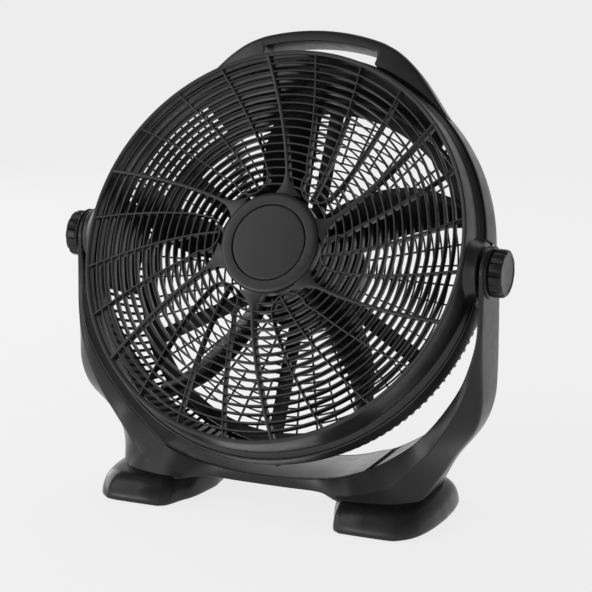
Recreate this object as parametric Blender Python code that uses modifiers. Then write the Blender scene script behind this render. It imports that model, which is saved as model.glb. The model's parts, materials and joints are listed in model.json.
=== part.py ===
"""Round tilting floor fan: a finned front grille and a ducted drum, held in a U-shaped yoke on two feet.

Metres, +Z up, front of the fan towards -Y. Everything on the fan head is drawn in the head's own frame,
where +Z is the fan axis pointing forward, +Y is up and the tilt axis is X through the origin.
"""
import math

import bmesh
import bpy
from mathutils import Matrix, Vector

# ---- driving dimensions ---------------------------------------------------------------------------
GAP = 0.0003                # clearance left between pieces that touch
PIVOT_Y = -0.0157           # tilt axis, so that the object's box is centred front to back
PIVOT_Z = 0.3119            # tilt axis above the floor
TILT = math.radians(27.3)   # how far the head leans back at rest

GRILLE_FRONT = 0.0425       # front face of the rim, ahead of the tilt axis
FIN_BACK = 0.0300           # back edge of the front fins
OPENING_R = 0.2415          # clear radius inside the rim
RIM_R = 0.2467              # outer radius of the rim face
RIM_BACK_R = 0.2504         # outer radius where the rim meets the drum
RIM_BACK = 0.0177           # back edge of the rim
FIN_R0 = 0.2314             # outermost fin ring
FIN_PITCH = 0.01042         # ring spacing
FIN_T = 0.0022              # ring thickness
FIN_RINGS = (0, 4, 8, 13)
RIBS = 24
MAIN_RIB_ANGLE = 42.2       # degrees, first thick rib at the rim
SPIRAL = 15.2               # degrees of rib lean per unit of ln(radius)
HUB_R = 0.0632              # ring that the thick ribs run into
CAP_R = 0.0469

DRUM_R = 0.2560
DRUM_BACK = -0.0285
LIP_Z = -0.0048
SHELL_GAP_ANGLE = 10.5      # degrees left free for the tilt boss
REAR_PLATE_Z = -0.0870      # middle of the flat rear grille
REAR_T = 0.0030
REAR_RING_R = 0.2232        # edge of the flat rear plate
CAGE_IN = 0.2235            # inner edge of the curved rear guard
CAGE_TOP = 40.3             # half angle of the guard's closed top, behind the handle
CAGE_SIDE = 14.0            # half angle of its closed panels behind the tilt bosses
REAR_RING_IN = 0.2080
REAR_RINGS = (0.1650, 0.1206)
MOTOR_PLATE_R = 0.0762
SPOKE_W = 0.0203
LADDER_BARS = 20

BLADES = 5
BLADE_ANGLE = 98.5
BLADE_Z = -0.0222
FAN_HUB_R = 0.0460

BOSS_R = 0.0347
BOSS_X = 0.2606             # face of the tilt boss
ARM_IN = 0.2639
ARM_OUT = 0.2702
ARM_R = 0.0309
KNOB_R = 0.0290
KNOB_IN = 0.2731
KNOB_OUT = 0.2896

FOOT_BOTTOM = 0.0015
FOOT_TOP = 0.0335
FOOT_MID_Y = -0.0097        # middle of a foot, measured from the tilt axis
PAD_R = 0.0090

# ---- scene set-up ---------------------------------------------------------------------------------
for old in list(bpy.data.objects):
    bpy.data.objects.remove(old, do_unlink=True)

FAN = bpy.data.collections.new("floor_fan")
CUTTERS = bpy.data.collections.new("cutters")
bpy.context.scene.collection.children.link(FAN)
bpy.context.scene.collection.children.link(CUTTERS)

BASE_FRAME = Matrix.Translation((0.0, PIVOT_Y, 0.0))
HEAD_FRAME = Matrix.Translation((0.0, PIVOT_Y, PIVOT_Z)) @ Matrix.Rotation(math.pi / 2 - TILT, 4, "X")


def material(name, colour, roughness, metallic=0.0):
    mat = bpy.data.materials.new(name)
    mat.use_nodes = True
    shader = mat.node_tree.nodes["Principled BSDF"]
    shader.inputs["Base Color"].default_value = (*colour, 1.0)
    shader.inputs["Roughness"].default_value = roughness
    shader.inputs["Metallic"].default_value = metallic
    return mat


def place(obj, frame, mat=None, cutter=False):
    """Put an object in its collection, frame and material."""
    obj.matrix_world = frame
    if cutter:
        CUTTERS.objects.link(obj)
        obj.hide_render = True
        obj.display_type = "WIRE"
    else:
        FAN.objects.link(obj)
        obj.data.materials.append(mat)
    return obj


def smooth(obj, limit=35.0):
    """Shade round faces smooth and keep the edges sharper than the limit."""
    mesh = obj.data
    for face in mesh.polygons:
        face.use_smooth = True
    mesh.set_sharp_from_angle(angle=math.radians(limit))
    return obj


def lathe(name, profile, frame, mat=None, steps=48, cutter=False):
    """Spin a closed profile of (radius, height) about Z. It runs down its outer side first."""
    mesh = bpy.data.meshes.new(name)
    points = [(r, 0.0, z) for r, z in profile]
    edges = [(i, i + 1) for i in range(len(points) - 1)]
    if profile[0][0] > 0.0 or profile[-1][0] > 0.0:
        edges.append((len(points) - 1, 0))
    mesh.from_pydata(points, edges, [])
    obj = place(bpy.data.objects.new(name, mesh), frame, mat, cutter)
    spin = obj.modifiers.new("spin", "SCREW")
    spin.axis = "Z"
    spin.steps = steps
    spin.render_steps = steps
    spin.use_merge_vertices = True
    spin.merge_threshold = 1e-5
    spin.use_smooth_shade = False
    return obj


def baked(obj, name=None):
    """Replace an object's data by its evaluated mesh, welded and facing out."""
    bpy.context.view_layer.update()
    graph = bpy.context.evaluated_depsgraph_get()
    mesh = bpy.data.meshes.new_from_object(obj.evaluated_get(graph))
    work = bmesh.new()
    work.from_mesh(mesh)
    bmesh.ops.remove_doubles(work, verts=work.verts, dist=1e-6)
    bmesh.ops.recalc_face_normals(work, faces=work.faces)
    work.to_mesh(mesh)
    work.free()
    frame = obj.matrix_world.copy()
    label = name or obj.name
    homes = list(obj.users_collection)
    hidden = obj.hide_render
    bpy.data.objects.remove(obj, do_unlink=True)
    new = bpy.data.objects.new(label, mesh)
    new.matrix_world = frame
    for home in homes:
        home.objects.link(new)
    new.hide_render = hidden
    if hidden:
        new.display_type = "WIRE"
    return new


def loft(name, rings, frame, mat=None, closed=False, cutter=False):
    """Skin equal-length rings of points. Open lofts get a flat cap at each end."""
    work = bmesh.new()
    rows = [[work.verts.new(p) for p in ring] for ring in rings]
    count = len(rows[0])
    spans = len(rows) if closed else len(rows) - 1
    for i in range(spans):
        a = rows[i]
        b = rows[(i + 1) % len(rows)]
        for j in range(count):
            k = (j + 1) % count
            work.faces.new((a[j], a[k], b[k], b[j]))
    if not closed:
        work.faces.new(rows[0])
        work.faces.new(list(reversed(rows[-1])))
    bmesh.ops.recalc_face_normals(work, faces=work.faces)
    mesh = bpy.data.meshes.new(name)
    work.to_mesh(mesh)
    work.free()
    return place(bpy.data.objects.new(name, mesh), frame, mat, cutter)


def plate(name, outlines, middle_z, half, frame, mat=None, cutter=False):
    """A flat plate from an outer outline and hole outlines in the XY plane."""
    curve = bpy.data.curves.new(name, "CURVE")
    curve.dimensions = "2D"
    curve.fill_mode = "BOTH"
    curve.extrude = half
    for outline in outlines:
        spline = curve.splines.new("POLY")
        spline.points.add(len(outline) - 1)
        for point, (x, y) in zip(spline.points, outline):
            point.co = (x, y, 0.0, 1.0)
        spline.use_cyclic_u = True
    obj = place(bpy.data.objects.new(name, curve), frame @ Matrix.Translation((0.0, 0.0, middle_z)), mat, cutter)
    obj = baked(obj)
    obj.data.transform(Matrix.Translation((0.0, 0.0, middle_z)))
    obj.matrix_world = frame
    return obj


def cylinder(name, radius, low, high, frame, mat=None, sides=24, cutter=False):
    """A round bar about Z from low to high."""
    mesh = bpy.data.meshes.new(name)
    work = bmesh.new()
    bmesh.ops.create_cone(work, cap_ends=True, segments=sides, radius1=radius, radius2=radius,
                          depth=high - low, matrix=Matrix.Translation((0.0, 0.0, (high + low) / 2)))
    work.to_mesh(mesh)
    work.free()
    return place(bpy.data.objects.new(name, mesh), frame, mat, cutter)


def combine(obj, other, operation, label):
    mod = obj.modifiers.new(label, "BOOLEAN")
    mod.operation = operation
    mod.solver = "EXACT"
    mod.object = other
    return obj


def joined(name, parts):
    """Merge the meshes of several objects that share one frame into one object."""
    frame = parts[0].matrix_world.copy()
    home = parts[0].users_collection[0]
    hidden = parts[0].hide_render
    mesh = bpy.data.meshes.new(name)
    work = bmesh.new()
    for part in parts:
        work.from_mesh(part.data)
    work.to_mesh(mesh)
    work.free()
    for part in parts:
        bpy.data.objects.remove(part, do_unlink=True)
    obj = bpy.data.objects.new(name, mesh)
    obj.matrix_world = frame
    home.objects.link(obj)
    obj.hide_render = hidden
    if hidden:
        obj.display_type = "WIRE"
    return obj


def polar(radius, degrees):
    return (radius * math.cos(math.radians(degrees)), radius * math.sin(math.radians(degrees)))


def circle(radius, count, start=0.0):
    return [polar(radius, start + 360.0 * i / count) for i in range(count)]


def mirrored(points):
    return [(-x, y, z) for x, y, z in points]


SATIN = material("satin_black_plastic", (0.030, 0.031, 0.033), 0.42)
GLOSS = material("gloss_black_plastic", (0.018, 0.018, 0.020), 0.22)
BASE = material("charcoal_plastic", (0.045, 0.046, 0.050), 0.40)
RUBBER = material("rubber", (0.020, 0.020, 0.020), 0.85)
STEEL = material("zinc_steel", (0.62, 0.62, 0.64), 0.32, 1.0)
CASTING = material("motor_paint", (0.060, 0.062, 0.066), 0.50)
COPPER = material("wound_core", (0.48, 0.24, 0.12), 0.45, 0.6)
DARK = material("switch_plastic", (0.050, 0.050, 0.055), 0.55)

# ---- yoke: one U-shaped moulding, arms up to the tilt axis, legs flared down to the feet ------------
# One row per station from the arm's tip to the middle of the base, in millimetres:
# inner front edge, front ridge, outer front corner, backward shift of the rear half, channel depth.
UPPER = []
for rise in (78.0, 50.0, 22.0, 0.0):
    height = (PIVOT_Z + ARM_R * math.sin(math.radians(rise))) * 1000.0
    half = ARM_R * math.cos(math.radians(rise)) * 1000.0
    UPPER.append(((263.9, -half, height), (268.7, -half, height), (270.2, -half + 1.4, height), 0.0, 1.0))
LOWER = [
    ((263.9, -31.6, 251.0), (268.9, -31.6, 251.0), (270.2, -30.4, 251.0), 0.0, 1.0),
    ((263.9, -36.5, 231.6), (267.3, -36.5, 231.6), (270.2, -30.9, 231.6), 0.0, 1.0),
    ((253.3, -41.5, 193.0), (259.9, -41.5, 193.0), (270.2, -30.9, 193.0), 0.0, 1.0),
    ((241.5, -41.5, 170.0), (248.5, -45.5, 159.0), (270.6, -29.9, 152.0), 0.0, 1.0),
    ((219.2, -42.5, 135.1), (230.6, -47.8, 125.5), (256.7, -30.9, 119.7), 0.0, 1.0),
    ((197.8, -43.4, 110.0), (212.3, -48.3, 96.5), (233.0, -32.8, 79.1), 0.0, 1.0),
    ((181.4, -44.4, 95.5), (195.4, -52.6, 78.2), (219.5, -44.5, 51.1), -4.0, 1.0),
    ((164.1, -50.2, 83.5), (180.5, -56.9, 63.7), (206.0, -70.1, 33.8), -8.0, 1.0),
    ((146.7, -56.0, 73.3), (164.1, -62.2, 51.6), (180.0, -87.0, 33.8), -12.0, 1.0),
    ((134.2, -61.8, 67.6), (150.5, -67.1, 44.9), (144.8, -94.1, 33.8), -19.0, 3.0),
    ((106.1, -66.2, 57.9), (123.5, -77.2, 38.5), (121.5, -95.5, 33.8), -19.0, 3.0),
    ((92.6, -62.0, 53.1), (102.5, -78.0, 36.5), (101.5, -83.0, 33.8), -19.0, 3.0),
    ((67.6, -61.5, 48.9), (70.0, -64.5, 34.8), (69.0, -52.0, 34.0), -19.0, 3.0),
    ((33.8, -62.2, 45.4), (34.0, -62.8, 33.0), (34.0, -50.0, 31.5), -19.0, 3.0),
]
MIDDLE = [((0.0, -62.7, 44.4), (0.0, -62.7, 33.0), (0.0, -50.0, 31.5), -19.0, 3.0)]


def outward(point, distance):
    """Shift a point straight away from the tilt axis, across the section of the arm."""
    away = Vector((point[0], 0.0, point[2] - PIVOT_Z * 1000.0))
    if point[2] > 195.0:
        away = Vector((1.0 if point[0] > 0 else -1.0, 0.0, 0.0))
    away.normalize()
    return (point[0] + away.x * distance, point[1], point[2] + away.z * distance)


def back(point, shift):
    return (point[0], -point[1] + shift, point[2])


def yoke_section(row):
    inner, ridge, corner, shift, depth = row
    inset = min(3.5, -inner[1] * 0.3)
    floor_front = outward((inner[0], inner[1] + inset, inner[2]), depth)
    inner_back = back(inner, shift)
    floor_back = outward((inner[0], inner_back[1] - inset, inner[2]), depth)
    points = [inner, ridge, corner, back(corner, shift), back(ridge, shift), inner_back, floor_back, floor_front]
    return [(x / 1000.0, y / 1000.0, z / 1000.0) for x, y, z in points]


right_half = [yoke_section(row) for row in UPPER + LOWER]
middle = [yoke_section(row) for row in MIDDLE]
left_half = [mirrored(section) for section in reversed(right_half)]
yoke = loft("yoke", right_half + middle + left_half, BASE_FRAME, BASE)

for side, label in ((1, "right"), (-1, "left")):
    turn = Matrix.Translation((0.0, 0.0, PIVOT_Z)) @ Matrix.Rotation(side * math.pi / 2, 4, "Y")
    combine(yoke, cylinder("pivot_bore_" + label, 0.0043, 0.250, 0.290, BASE_FRAME @ turn, cutter=True, sides=20),
            "DIFFERENCE", "pivot_bore_" + label)

# ---- saddle tray: the cover let into the top of the base --------------------------------------------
TRAY_T = 2.4


def tray_section(row):
    inner, ridge, corner, shift, depth = row
    front = inner[1] + 3.5 + GAP * 1000.0
    rear = -inner[1] + shift - 3.5 - GAP * 1000.0
    top = [(inner[0], front, inner[2]), (inner[0], rear, inner[2])]
    low = [outward(point, TRAY_T) for point in reversed(top)]
    return [(x / 1000.0, y / 1000.0, z / 1000.0) for x, y, z in top + low]


tray_rows = LOWER[9:]
tray_right = [tray_section(row) for row in tray_rows]
tray = loft("saddle_tray", tray_right + [tray_section(MIDDLE[0])] + [mirrored(s) for s in reversed(tray_right)],
            BASE_FRAME, BASE)


def screw(name, at, frame, mat, head_r, head_h, shank_r, length, sides=8):
    """A pan-head screw standing at a point, head up and shank down."""
    profile = [(0.0, head_h), (head_r * 0.7, head_h), (head_r, head_h * 0.4), (head_r, 0.0),
               (shank_r, 0.0), (shank_r, -length), (0.0, -length)]
    obj = lathe(name, profile, frame @ Matrix.Translation(at), mat, steps=sides)
    return baked(obj)


TRAY_SCREW = (0.0, -0.0150, 0.0444)
screw("tray_screw", (TRAY_SCREW[0], TRAY_SCREW[1], TRAY_SCREW[2] + GAP), BASE_FRAME, STEEL,
      0.0038, 0.0018, 0.0017, 0.0080)
tray_hole = cylinder("tray_hole", 0.0021, 0.0340, 0.0500,
                     BASE_FRAME @ Matrix.Translation((TRAY_SCREW[0], TRAY_SCREW[1], 0.0)), cutter=True, sides=16)
combine(tray, tray_hole, "DIFFERENCE", "screw_hole")
combine(yoke, tray_hole, "DIFFERENCE", "tray_screw_hole")

# ---- feet, pads and foot screws --------------------------------------------------------------------
# Outer half of the outline in millimetres, front to middle: distance from the centre line and from mid-foot.
FOOT_OUT = [(153.0, 99.3), (188.0, 99.3), (198.0, 93.5), (207.5, 81.0), (214.0, 67.0), (220.0, 34.0), (221.6, 0.0)]
FOOT_IN = [(118.0, 99.3), (109.0, 87.0), (101.0, 63.0), (92.0, 42.0), (87.5, 0.0)]


def foot_outline(trim_out, trim_in, trim_end):
    """The foot's outline, pulled in by separate amounts on its outer side, inner side and ends."""
    half = [(x - trim_out * (x - 153.0) / 68.0, y - trim_end * y / 99.3) for x, y in FOOT_OUT]
    inner = [(x + trim_in * (153.0 - x) / 65.0, y - trim_end * y / 99.3) for x, y in FOOT_IN]
    front = half + [(x, -y) for x, y in reversed(half[:-1])]
    rear = [(x, -y) for x, y in inner] + [(x, y) for x, y in reversed(inner[:-1])]
    mid = FOOT_MID_Y * 1000.0
    return [(x / 1000.0, (mid - y) / 1000.0) for x, y in front + rear]


LEVELS = [(0.0015, 1.6, 1.6, 1.6), (0.0035, 0.0, 0.0, 0.0), (0.0140, 0.4, 0.3, 2.6), (0.0250, 3.4, 1.2, 4.6),
          (0.0310, 8.0, 3.0, 5.0), (FOOT_TOP, 11.5, 5.0, 8.0)]
PADS = [(0.160, 0.066), (0.160, -0.085)]
FOOT_SCREWS = [(0.150, 0.0250), (0.150, -0.0450)]

pad_number = 0
for side, label in ((1, "right"), (-1, "left")):
    rings = []
    for level, trim_out, trim_in, trim_end in LEVELS:
        rings.append([(side * x, y, level) for x, y in foot_outline(trim_out, trim_in, trim_end)])
    foot = loft("foot_" + label, rings, BASE_FRAME, BASE)
    for x, y in PADS:
        pad_number += 1
        spot = BASE_FRAME @ Matrix.Translation((side * x, y, 0.0))
        cylinder("pad_%d" % pad_number, PAD_R, 0.0, 0.0030, spot, RUBBER, sides=12)
        pocket = cylinder("pocket_%d" % pad_number, PAD_R + GAP, 0.0, 0.0030 + GAP, spot, cutter=True, sides=12)
        combine(foot, pocket, "DIFFERENCE", "pad_pocket_%d" % pad_number)
    for number, (x, y) in enumerate(FOOT_SCREWS):
        name = "foot_screw_%s_%d" % (label, number + 1)
        flip = Matrix.Translation((side * x, y, 0.0110)) @ Matrix.Rotation(math.pi, 4, "X")
        screw(name, (0.0, 0.0, GAP), BASE_FRAME @ flip, STEEL, 0.0040, 0.0028, 0.0020, 0.0360)
        bore = [(0.0045, 0.0200), (0.0045, 0.0), (0.0024, 0.0), (0.0024, -0.0395), (0.0, -0.0395), (0.0, 0.0200)]
        hole = baked(lathe("hole_" + name, bore, BASE_FRAME @ flip, steps=10, cutter=True))
        combine(foot, hole, "DIFFERENCE", "screw_hole_%d" % (number + 1))
        combine(yoke, hole, "DIFFERENCE", "hole_" + name)

# ---- front grille: flat moulding of concentric fins and spiral ribs, inside a deep rim ----------------
RIM_STEPS = 48


def rib_angle(at_rim, radius):
    return at_rim + SPIRAL * math.log(radius / OPENING_R)


def rib_half(main, radius):
    """Half of a rib's width as an angle at a radius."""
    width = 0.0048 if main else 0.0023
    return math.degrees(width / 2 / radius)


def cell(outer, inner, first, second, first_main, second_main, arc_points):
    """One opening between two rings and two ribs."""
    a = rib_angle(first, outer) + rib_half(first_main, outer)
    b = rib_angle(second, outer) - rib_half(second_main, outer)
    c = rib_angle(second, inner) - rib_half(second_main, inner)
    d = rib_angle(first, inner) + rib_half(first_main, inner)
    steps = arc_points + 1
    top = [polar(outer, a + (b - a) * i / steps) for i in range(steps + 1)]
    low = [polar(inner, c + (d - c) * i / steps) for i in range(steps + 1)]
    return top + low


outlines = [circle(OPENING_R - GAP, RIM_STEPS)]
edges = [OPENING_R - GAP - 0.0016]
for number in FIN_RINGS:
    radius = FIN_R0 - FIN_PITCH * number
    edges += [radius + FIN_T / 2, radius - FIN_T / 2]
edges.append(HUB_R)
for band in range(len(edges) // 2):
    outer = edges[2 * band]
    inner = edges[2 * band + 1]
    last = band == len(edges) // 2 - 1
    step = 60.0 if last else 360.0 / RIBS
    for number in range(int(360.0 / step)):
        first = MAIN_RIB_ANGLE + step * number
        main = [abs((first + shift - MAIN_RIB_ANGLE) % 60.0) < 1e-6 for shift in (0.0, step)]
        arc = 3 if last else int(outer > 0.2)
        outlines.append(cell(outer, inner, first, first + step, main[0], main[1], arc))
plate("front_grille", outlines, (GRILLE_FRONT + FIN_BACK) / 2 - 0.0002, (GRILLE_FRONT - FIN_BACK) / 2 - 0.0002,
      HEAD_FRAME, SATIN)
rim_profile = [(RIM_R - 0.0012, GRILLE_FRONT), (RIM_R, GRILLE_FRONT - 0.0012), (RIM_BACK_R, RIM_BACK),
               (RIM_BACK_R - 0.0024, RIM_BACK), (OPENING_R, FIN_BACK - 0.001), (OPENING_R, GRILLE_FRONT)]
baked(lathe("grille_rim", rim_profile, HEAD_FRAME, SATIN, steps=RIM_STEPS))

cap_profile = [(0.0, 0.0462), (0.0360, 0.0462), (0.0375, 0.0454), (0.0400, 0.0454), (0.0415, 0.0460),
               (CAP_R - 0.0014, 0.0456), (CAP_R, 0.0444), (CAP_R, GRILLE_FRONT + GAP), (0.0, GRILLE_FRONT + GAP)]
baked(lathe("hub_cap", cap_profile, HEAD_FRAME, GLOSS, steps=28))

# ---- drum: the duct ring, with a lower and an upper outer shell --------------------------------------
drum_profile = [(0.2492, 0.0174), (0.2500, 0.0010), (0.2550, -0.0035), (DRUM_R, -0.0055), (DRUM_R, DRUM_BACK),
                (DRUM_R - 0.0030, DRUM_BACK), (DRUM_R - 0.0030, -0.0075), (0.2470, 0.0020), (0.2462, 0.0174)]
lathe("drum_ring", drum_profile, HEAD_FRAME, SATIN, steps=48)


def arc_loft(name, section, start, end, count, mat, cutter=False):
    """Carry a (radius, height) section along an arc of the drum."""
    rings = []
    for number in range(count + 1):
        angle = start + (end - start) * number / count
        rings.append([(*polar(r, angle), z) for r, z in section])
    return loft(name, rings, HEAD_FRAME, mat, cutter=cutter)


lower_section = [(0.2576, LIP_Z), (0.2583, -0.0062), (0.2586, DRUM_BACK - 0.0005), (0.2566, DRUM_BACK - 0.0005),
                 (0.2564, LIP_Z)]
arc_loft("lower_shell", lower_section, 180.0 + SHELL_GAP_ANGLE, 360.0 - SHELL_GAP_ANGLE, 40, SATIN)
upper_section = [(0.2578, LIP_Z), (0.2586, -0.0062), (0.2607, -0.0386), (0.2588, -0.0386), (0.2564, LIP_Z)]
upper_shell = arc_loft("upper_shell", upper_section, SHELL_GAP_ANGLE, 180.0 - SHELL_GAP_ANGLE, 40, SATIN)

# ---- carrying handle, moulded on the upper shell ------------------------------------------------------
# Angle from the top in degrees, outer radius, inner radius, front and back of the section.
HANDLE = [(0.0, 0.2885, 0.2735, 0.0048, -0.0290), (9.0, 0.2884, 0.2736, 0.0048, -0.0290),
          (15.8, 0.2880, 0.2738, 0.0048, -0.0295), (17.0, 0.2878, 0.2580, 0.0046, -0.0300),
          (21.0, 0.2855, 0.2580, 0.0035, -0.0315), (26.0, 0.2800, 0.2580, 0.0010, -0.0330),
          (31.0, 0.2725, 0.2580, -0.0020, -0.0345), (36.0, 0.2650, 0.2580, -0.0040, -0.0355),
          (40.0, 0.2605, 0.2582, -0.0060, -0.0365)]


def handle_section(row, side):
    angle, outer, inner, front, rear = row
    edge = min(0.0030, (outer - inner) * 0.4)
    shape = [(inner, front), (outer - edge, front), (outer, front - edge), (outer, rear + edge),
             (outer - edge, rear), (inner, rear)]
    return [(*polar(r, 90.0 + side * angle), z) for r, z in shape]


right_side = [handle_section(row, -1) for row in reversed(HANDLE)]
left_side = [handle_section(row, 1) for row in HANDLE[1:]]
handle = loft("handle_bar", right_side + left_side, HEAD_FRAME, cutter=True)
combine(upper_shell, handle, "UNION", "handle")

# ---- tilt bosses on the drum, with washers, bolts and knobs ------------------------------------------
boss_cut = baked(lathe("boss_cut", [(0.2508, 0.0800), (0.2508, 0.0005), (0.2563, -0.0040), (0.2563, -0.0800),
                                    (0.1500, -0.0800), (0.1500, 0.0800)], HEAD_FRAME, steps=48, cutter=True))
for side, label in ((1, "right"), (-1, "left")):
    turn = Matrix.Rotation(side * math.pi / 2, 4, "Y")
    across = HEAD_FRAME @ turn
    profile = [(0.0, BOSS_X), (BOSS_R - 0.0012, BOSS_X), (BOSS_R, BOSS_X - 0.0012), (BOSS_R + 0.0006, 0.2575),
               (BOSS_R + 0.0035, 0.2545), (BOSS_R + 0.0035, 0.2400), (0.0, 0.2400)]
    boss = baked(lathe("tilt_boss_" + label, profile, across, SATIN, steps=28))
    combine(boss, boss_cut, "DIFFERENCE", "drum_seat")
    combine(boss, cylinder("boss_bore_" + label, 0.0043, 0.2300, 0.2700, across, cutter=True, sides=20),
            "DIFFERENCE", "bolt_bore")
    level = BASE_FRAME @ Matrix.Translation((0.0, 0.0, PIVOT_Z)) @ turn
    washer_profile = [(0.0200, ARM_IN - GAP), (0.0200, BOSS_X + GAP), (0.0046, BOSS_X + GAP), (0.0046, ARM_IN - GAP)]
    baked(lathe("friction_washer_" + label, washer_profile, level, RUBBER, steps=16))
    plate_profile = [(0.0312, 0.2728), (0.0318, 0.2720), (0.0318, ARM_OUT + GAP), (0.0046, ARM_OUT + GAP),
                     (0.0046, 0.2728)]
    baked(lathe("knob_plate_" + label, plate_profile, level, GLOSS, steps=20))
    cylinder("tilt_bolt_" + label, 0.0040, 0.2572, 0.2728, level, STEEL, sides=16)
    rings = []
    for depth, scale, lobe in ((KNOB_IN, 0.94, 0.0009), (0.2745, 1.0, 0.0016), (0.2868, 0.985, 0.0016),
                               (0.2887, 0.93, 0.0009), (KNOB_OUT, 0.86, 0.0)):
        ring = []
        for number in range(36):
            angle = 10.0 * number
            radius = KNOB_R * scale - lobe * (0.5 + 0.5 * math.cos(math.radians(12 * angle)))
            ring.append((*polar(radius, angle), depth))
        rings.append(ring)
    loft("tilt_knob_" + label, rings, level, GLOSS)

# ---- rear grille: flat spoked plate ---------------------------------------------------------------------
def rear_cell(outer, inner, first, second, first_half, second_half):
    """One opening of the rear grille; the edges keep a constant distance from their spokes."""
    a = first + math.degrees(math.asin(first_half / outer))
    b = second - math.degrees(math.asin(second_half / outer))
    c = second - math.degrees(math.asin(second_half / inner))
    d = first + math.degrees(math.asin(first_half / inner))
    far = [polar(outer, a), polar(outer, (a + b) / 2), polar(outer, b)]
    near = [polar(inner, c), polar(inner, (c + d) / 2), polar(inner, d)]
    if outer < 0.15:
        near.pop(1)
    return far + near


outlines = [circle(REAR_RING_R, 48)]
edges = [REAR_RING_IN]
for radius in REAR_RINGS:
    edges += [radius + 0.0012, radius - 0.0012]
edges.append(MOTOR_PLATE_R)
for band in range(len(edges) // 2):
    for number in range(18):
        first = 30.0 + 20.0 * number
        on_spoke = [number % 3 == 0, number % 3 == 2]
        halves = [(SPOKE_W / 2 if spoke else 0.0014) - 0.0001 * band for spoke in on_spoke]
        outlines.append(rear_cell(edges[2 * band], edges[2 * band + 1], first, first + 20.0, halves[0], halves[1]))
MOTOR_SCREWS = [polar(0.0642, 60.0 + 90.0 * number) for number in range(4)]
for x, y in MOTOR_SCREWS:
    outlines.append([(x + dx, y + dy) for dx, dy in circle(0.0023, 10)])
rear_grille = plate("rear_grille", outlines, REAR_PLATE_Z, REAR_T / 2, HEAD_FRAME, SATIN)

# ---- rear guard: a band on the drum, a curved ladder of bars and closed panels at the top and sides ----
BAR_PATH = [(0.2545, -0.0325), (0.2492, -0.0540), (0.2400, -0.0740), (0.2262, -0.0862)]
BAR_AWAY = [(0.97, -0.24), (0.94, -0.34), (0.80, -0.60), (0.66, -0.75)]
PANEL_T = 0.0009


def panel(name, start, end, stretch):
    """A closed part of the guard along an arc, over the first stretch of the bars' path."""
    path = list(zip(BAR_PATH, BAR_AWAY))[:stretch]
    far = [(r + PANEL_T * out, z + PANEL_T * down) for (r, z), (out, down) in path]
    near = [(r - PANEL_T * out, z - PANEL_T * down) for (r, z), (out, down) in path]
    return arc_loft(name, far + list(reversed(near)), start, end, round((end - start) / 5.0), SATIN, cutter=True)


bars = []
for number in range(LADDER_BARS):
    angle = 360.0 * (number + 0.5) / LADDER_BARS
    if abs(angle - 90.0) < CAGE_TOP:
        continue
    rings = []
    for (radius, depth), (out, down) in zip(BAR_PATH, BAR_AWAY):
        ring = []
        for across, along in ((-1, -1), (1, -1), (1, 1), (-1, 1)):
            r = radius + 0.0013 * along * out
            z = depth + 0.0013 * along * down
            x, y = polar(r, angle)
            side_x, side_y = polar(0.0015 * across, angle + 90.0)
            ring.append((x + side_x, y + side_y, z))
        rings.append(ring)
    bars.append(loft("bar_%d" % number, rings, HEAD_FRAME, cutter=True))
ladder = joined("ladder", bars)
band_profile = [(0.2560, DRUM_BACK - GAP), (0.2560, -0.0338), (0.2530, -0.0338), (0.2530, DRUM_BACK - GAP)]
rear_guard = baked(lathe("rear_guard", band_profile, HEAD_FRAME, SATIN, steps=48))
inner_profile = [(0.2290, -0.0838), (0.2288, -0.0858), (0.2249, -0.0885), (CAGE_IN, -0.0885), (CAGE_IN, -0.0855),
                 (0.2262, -0.0850)]
inner_ring = baked(lathe("guard_ring", inner_profile, HEAD_FRAME, steps=48, cutter=True))
combine(rear_guard, ladder, "UNION", "ladder_bars")
combine(rear_guard, inner_ring, "UNION", "inner_ring")
combine(rear_guard, panel("top_panel", 90.0 - CAGE_TOP, 90.0 + CAGE_TOP, 4), "UNION", "top_panel")
for label, middle_angle in (("right", 0.0), ("left", 180.0)):
    side_panel = panel("side_panel_" + label, middle_angle - CAGE_SIDE, middle_angle + CAGE_SIDE, 3)
    combine(rear_guard, side_panel, "UNION", "side_panel_" + label)

# ---- motor, in front of the rear plate ----------------------------------------------------------------
shell_profile = [(0.0105, -0.0455), (0.0480, -0.0455), (0.0560, -0.0510), (0.0572, -0.0812), (0.0720, -0.0812),
                 (0.0720, -0.0852), (0.0545, -0.0852), (0.0535, -0.0530), (0.0470, -0.0480), (0.0105, -0.0480)]
motor_shell = baked(lathe("motor_shell", shell_profile, HEAD_FRAME, CASTING, steps=28))
for number, (x, y) in enumerate(MOTOR_SCREWS):
    spot = HEAD_FRAME @ Matrix.Translation((x, y, 0.0))
    combine(motor_shell, cylinder("flange_hole_%d" % number, 0.0022, -0.0900, -0.0700, spot, cutter=True, sides=12),
            "DIFFERENCE", "flange_hole_%d" % number)
    screw("motor_screw_%d" % (number + 1), (x, y, -0.0812 + GAP), HEAD_FRAME, STEEL,
          0.0038, 0.0022, 0.0018, 0.0095)
ring_part = ((0.0100, -0.0456, 0.0044, -0.0530, "bearing_front", STEEL, 16),
             (0.0100, -0.0790, 0.0044, -0.0845, "bearing_rear", STEEL, 16),
             (0.0520, -0.0560, 0.0300, -0.0770, "stator", COPPER, 24),
             (0.0294, -0.0560, 0.0044, -0.0770, "rotor_core", STEEL, 24),
             (0.0530, -0.0790, 0.0103, -0.0845, "motor_end_bell", CASTING, 32))
for outer, top, inner, low, name, mat, steps in ring_part:
    baked(lathe(name, [(outer, top), (outer, low), (inner, low), (inner, top)], HEAD_FRAME, mat, steps=steps))
cylinder("motor_shaft", 0.0040, -0.0835, 0.0090, HEAD_FRAME, STEEL, sides=20)

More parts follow.
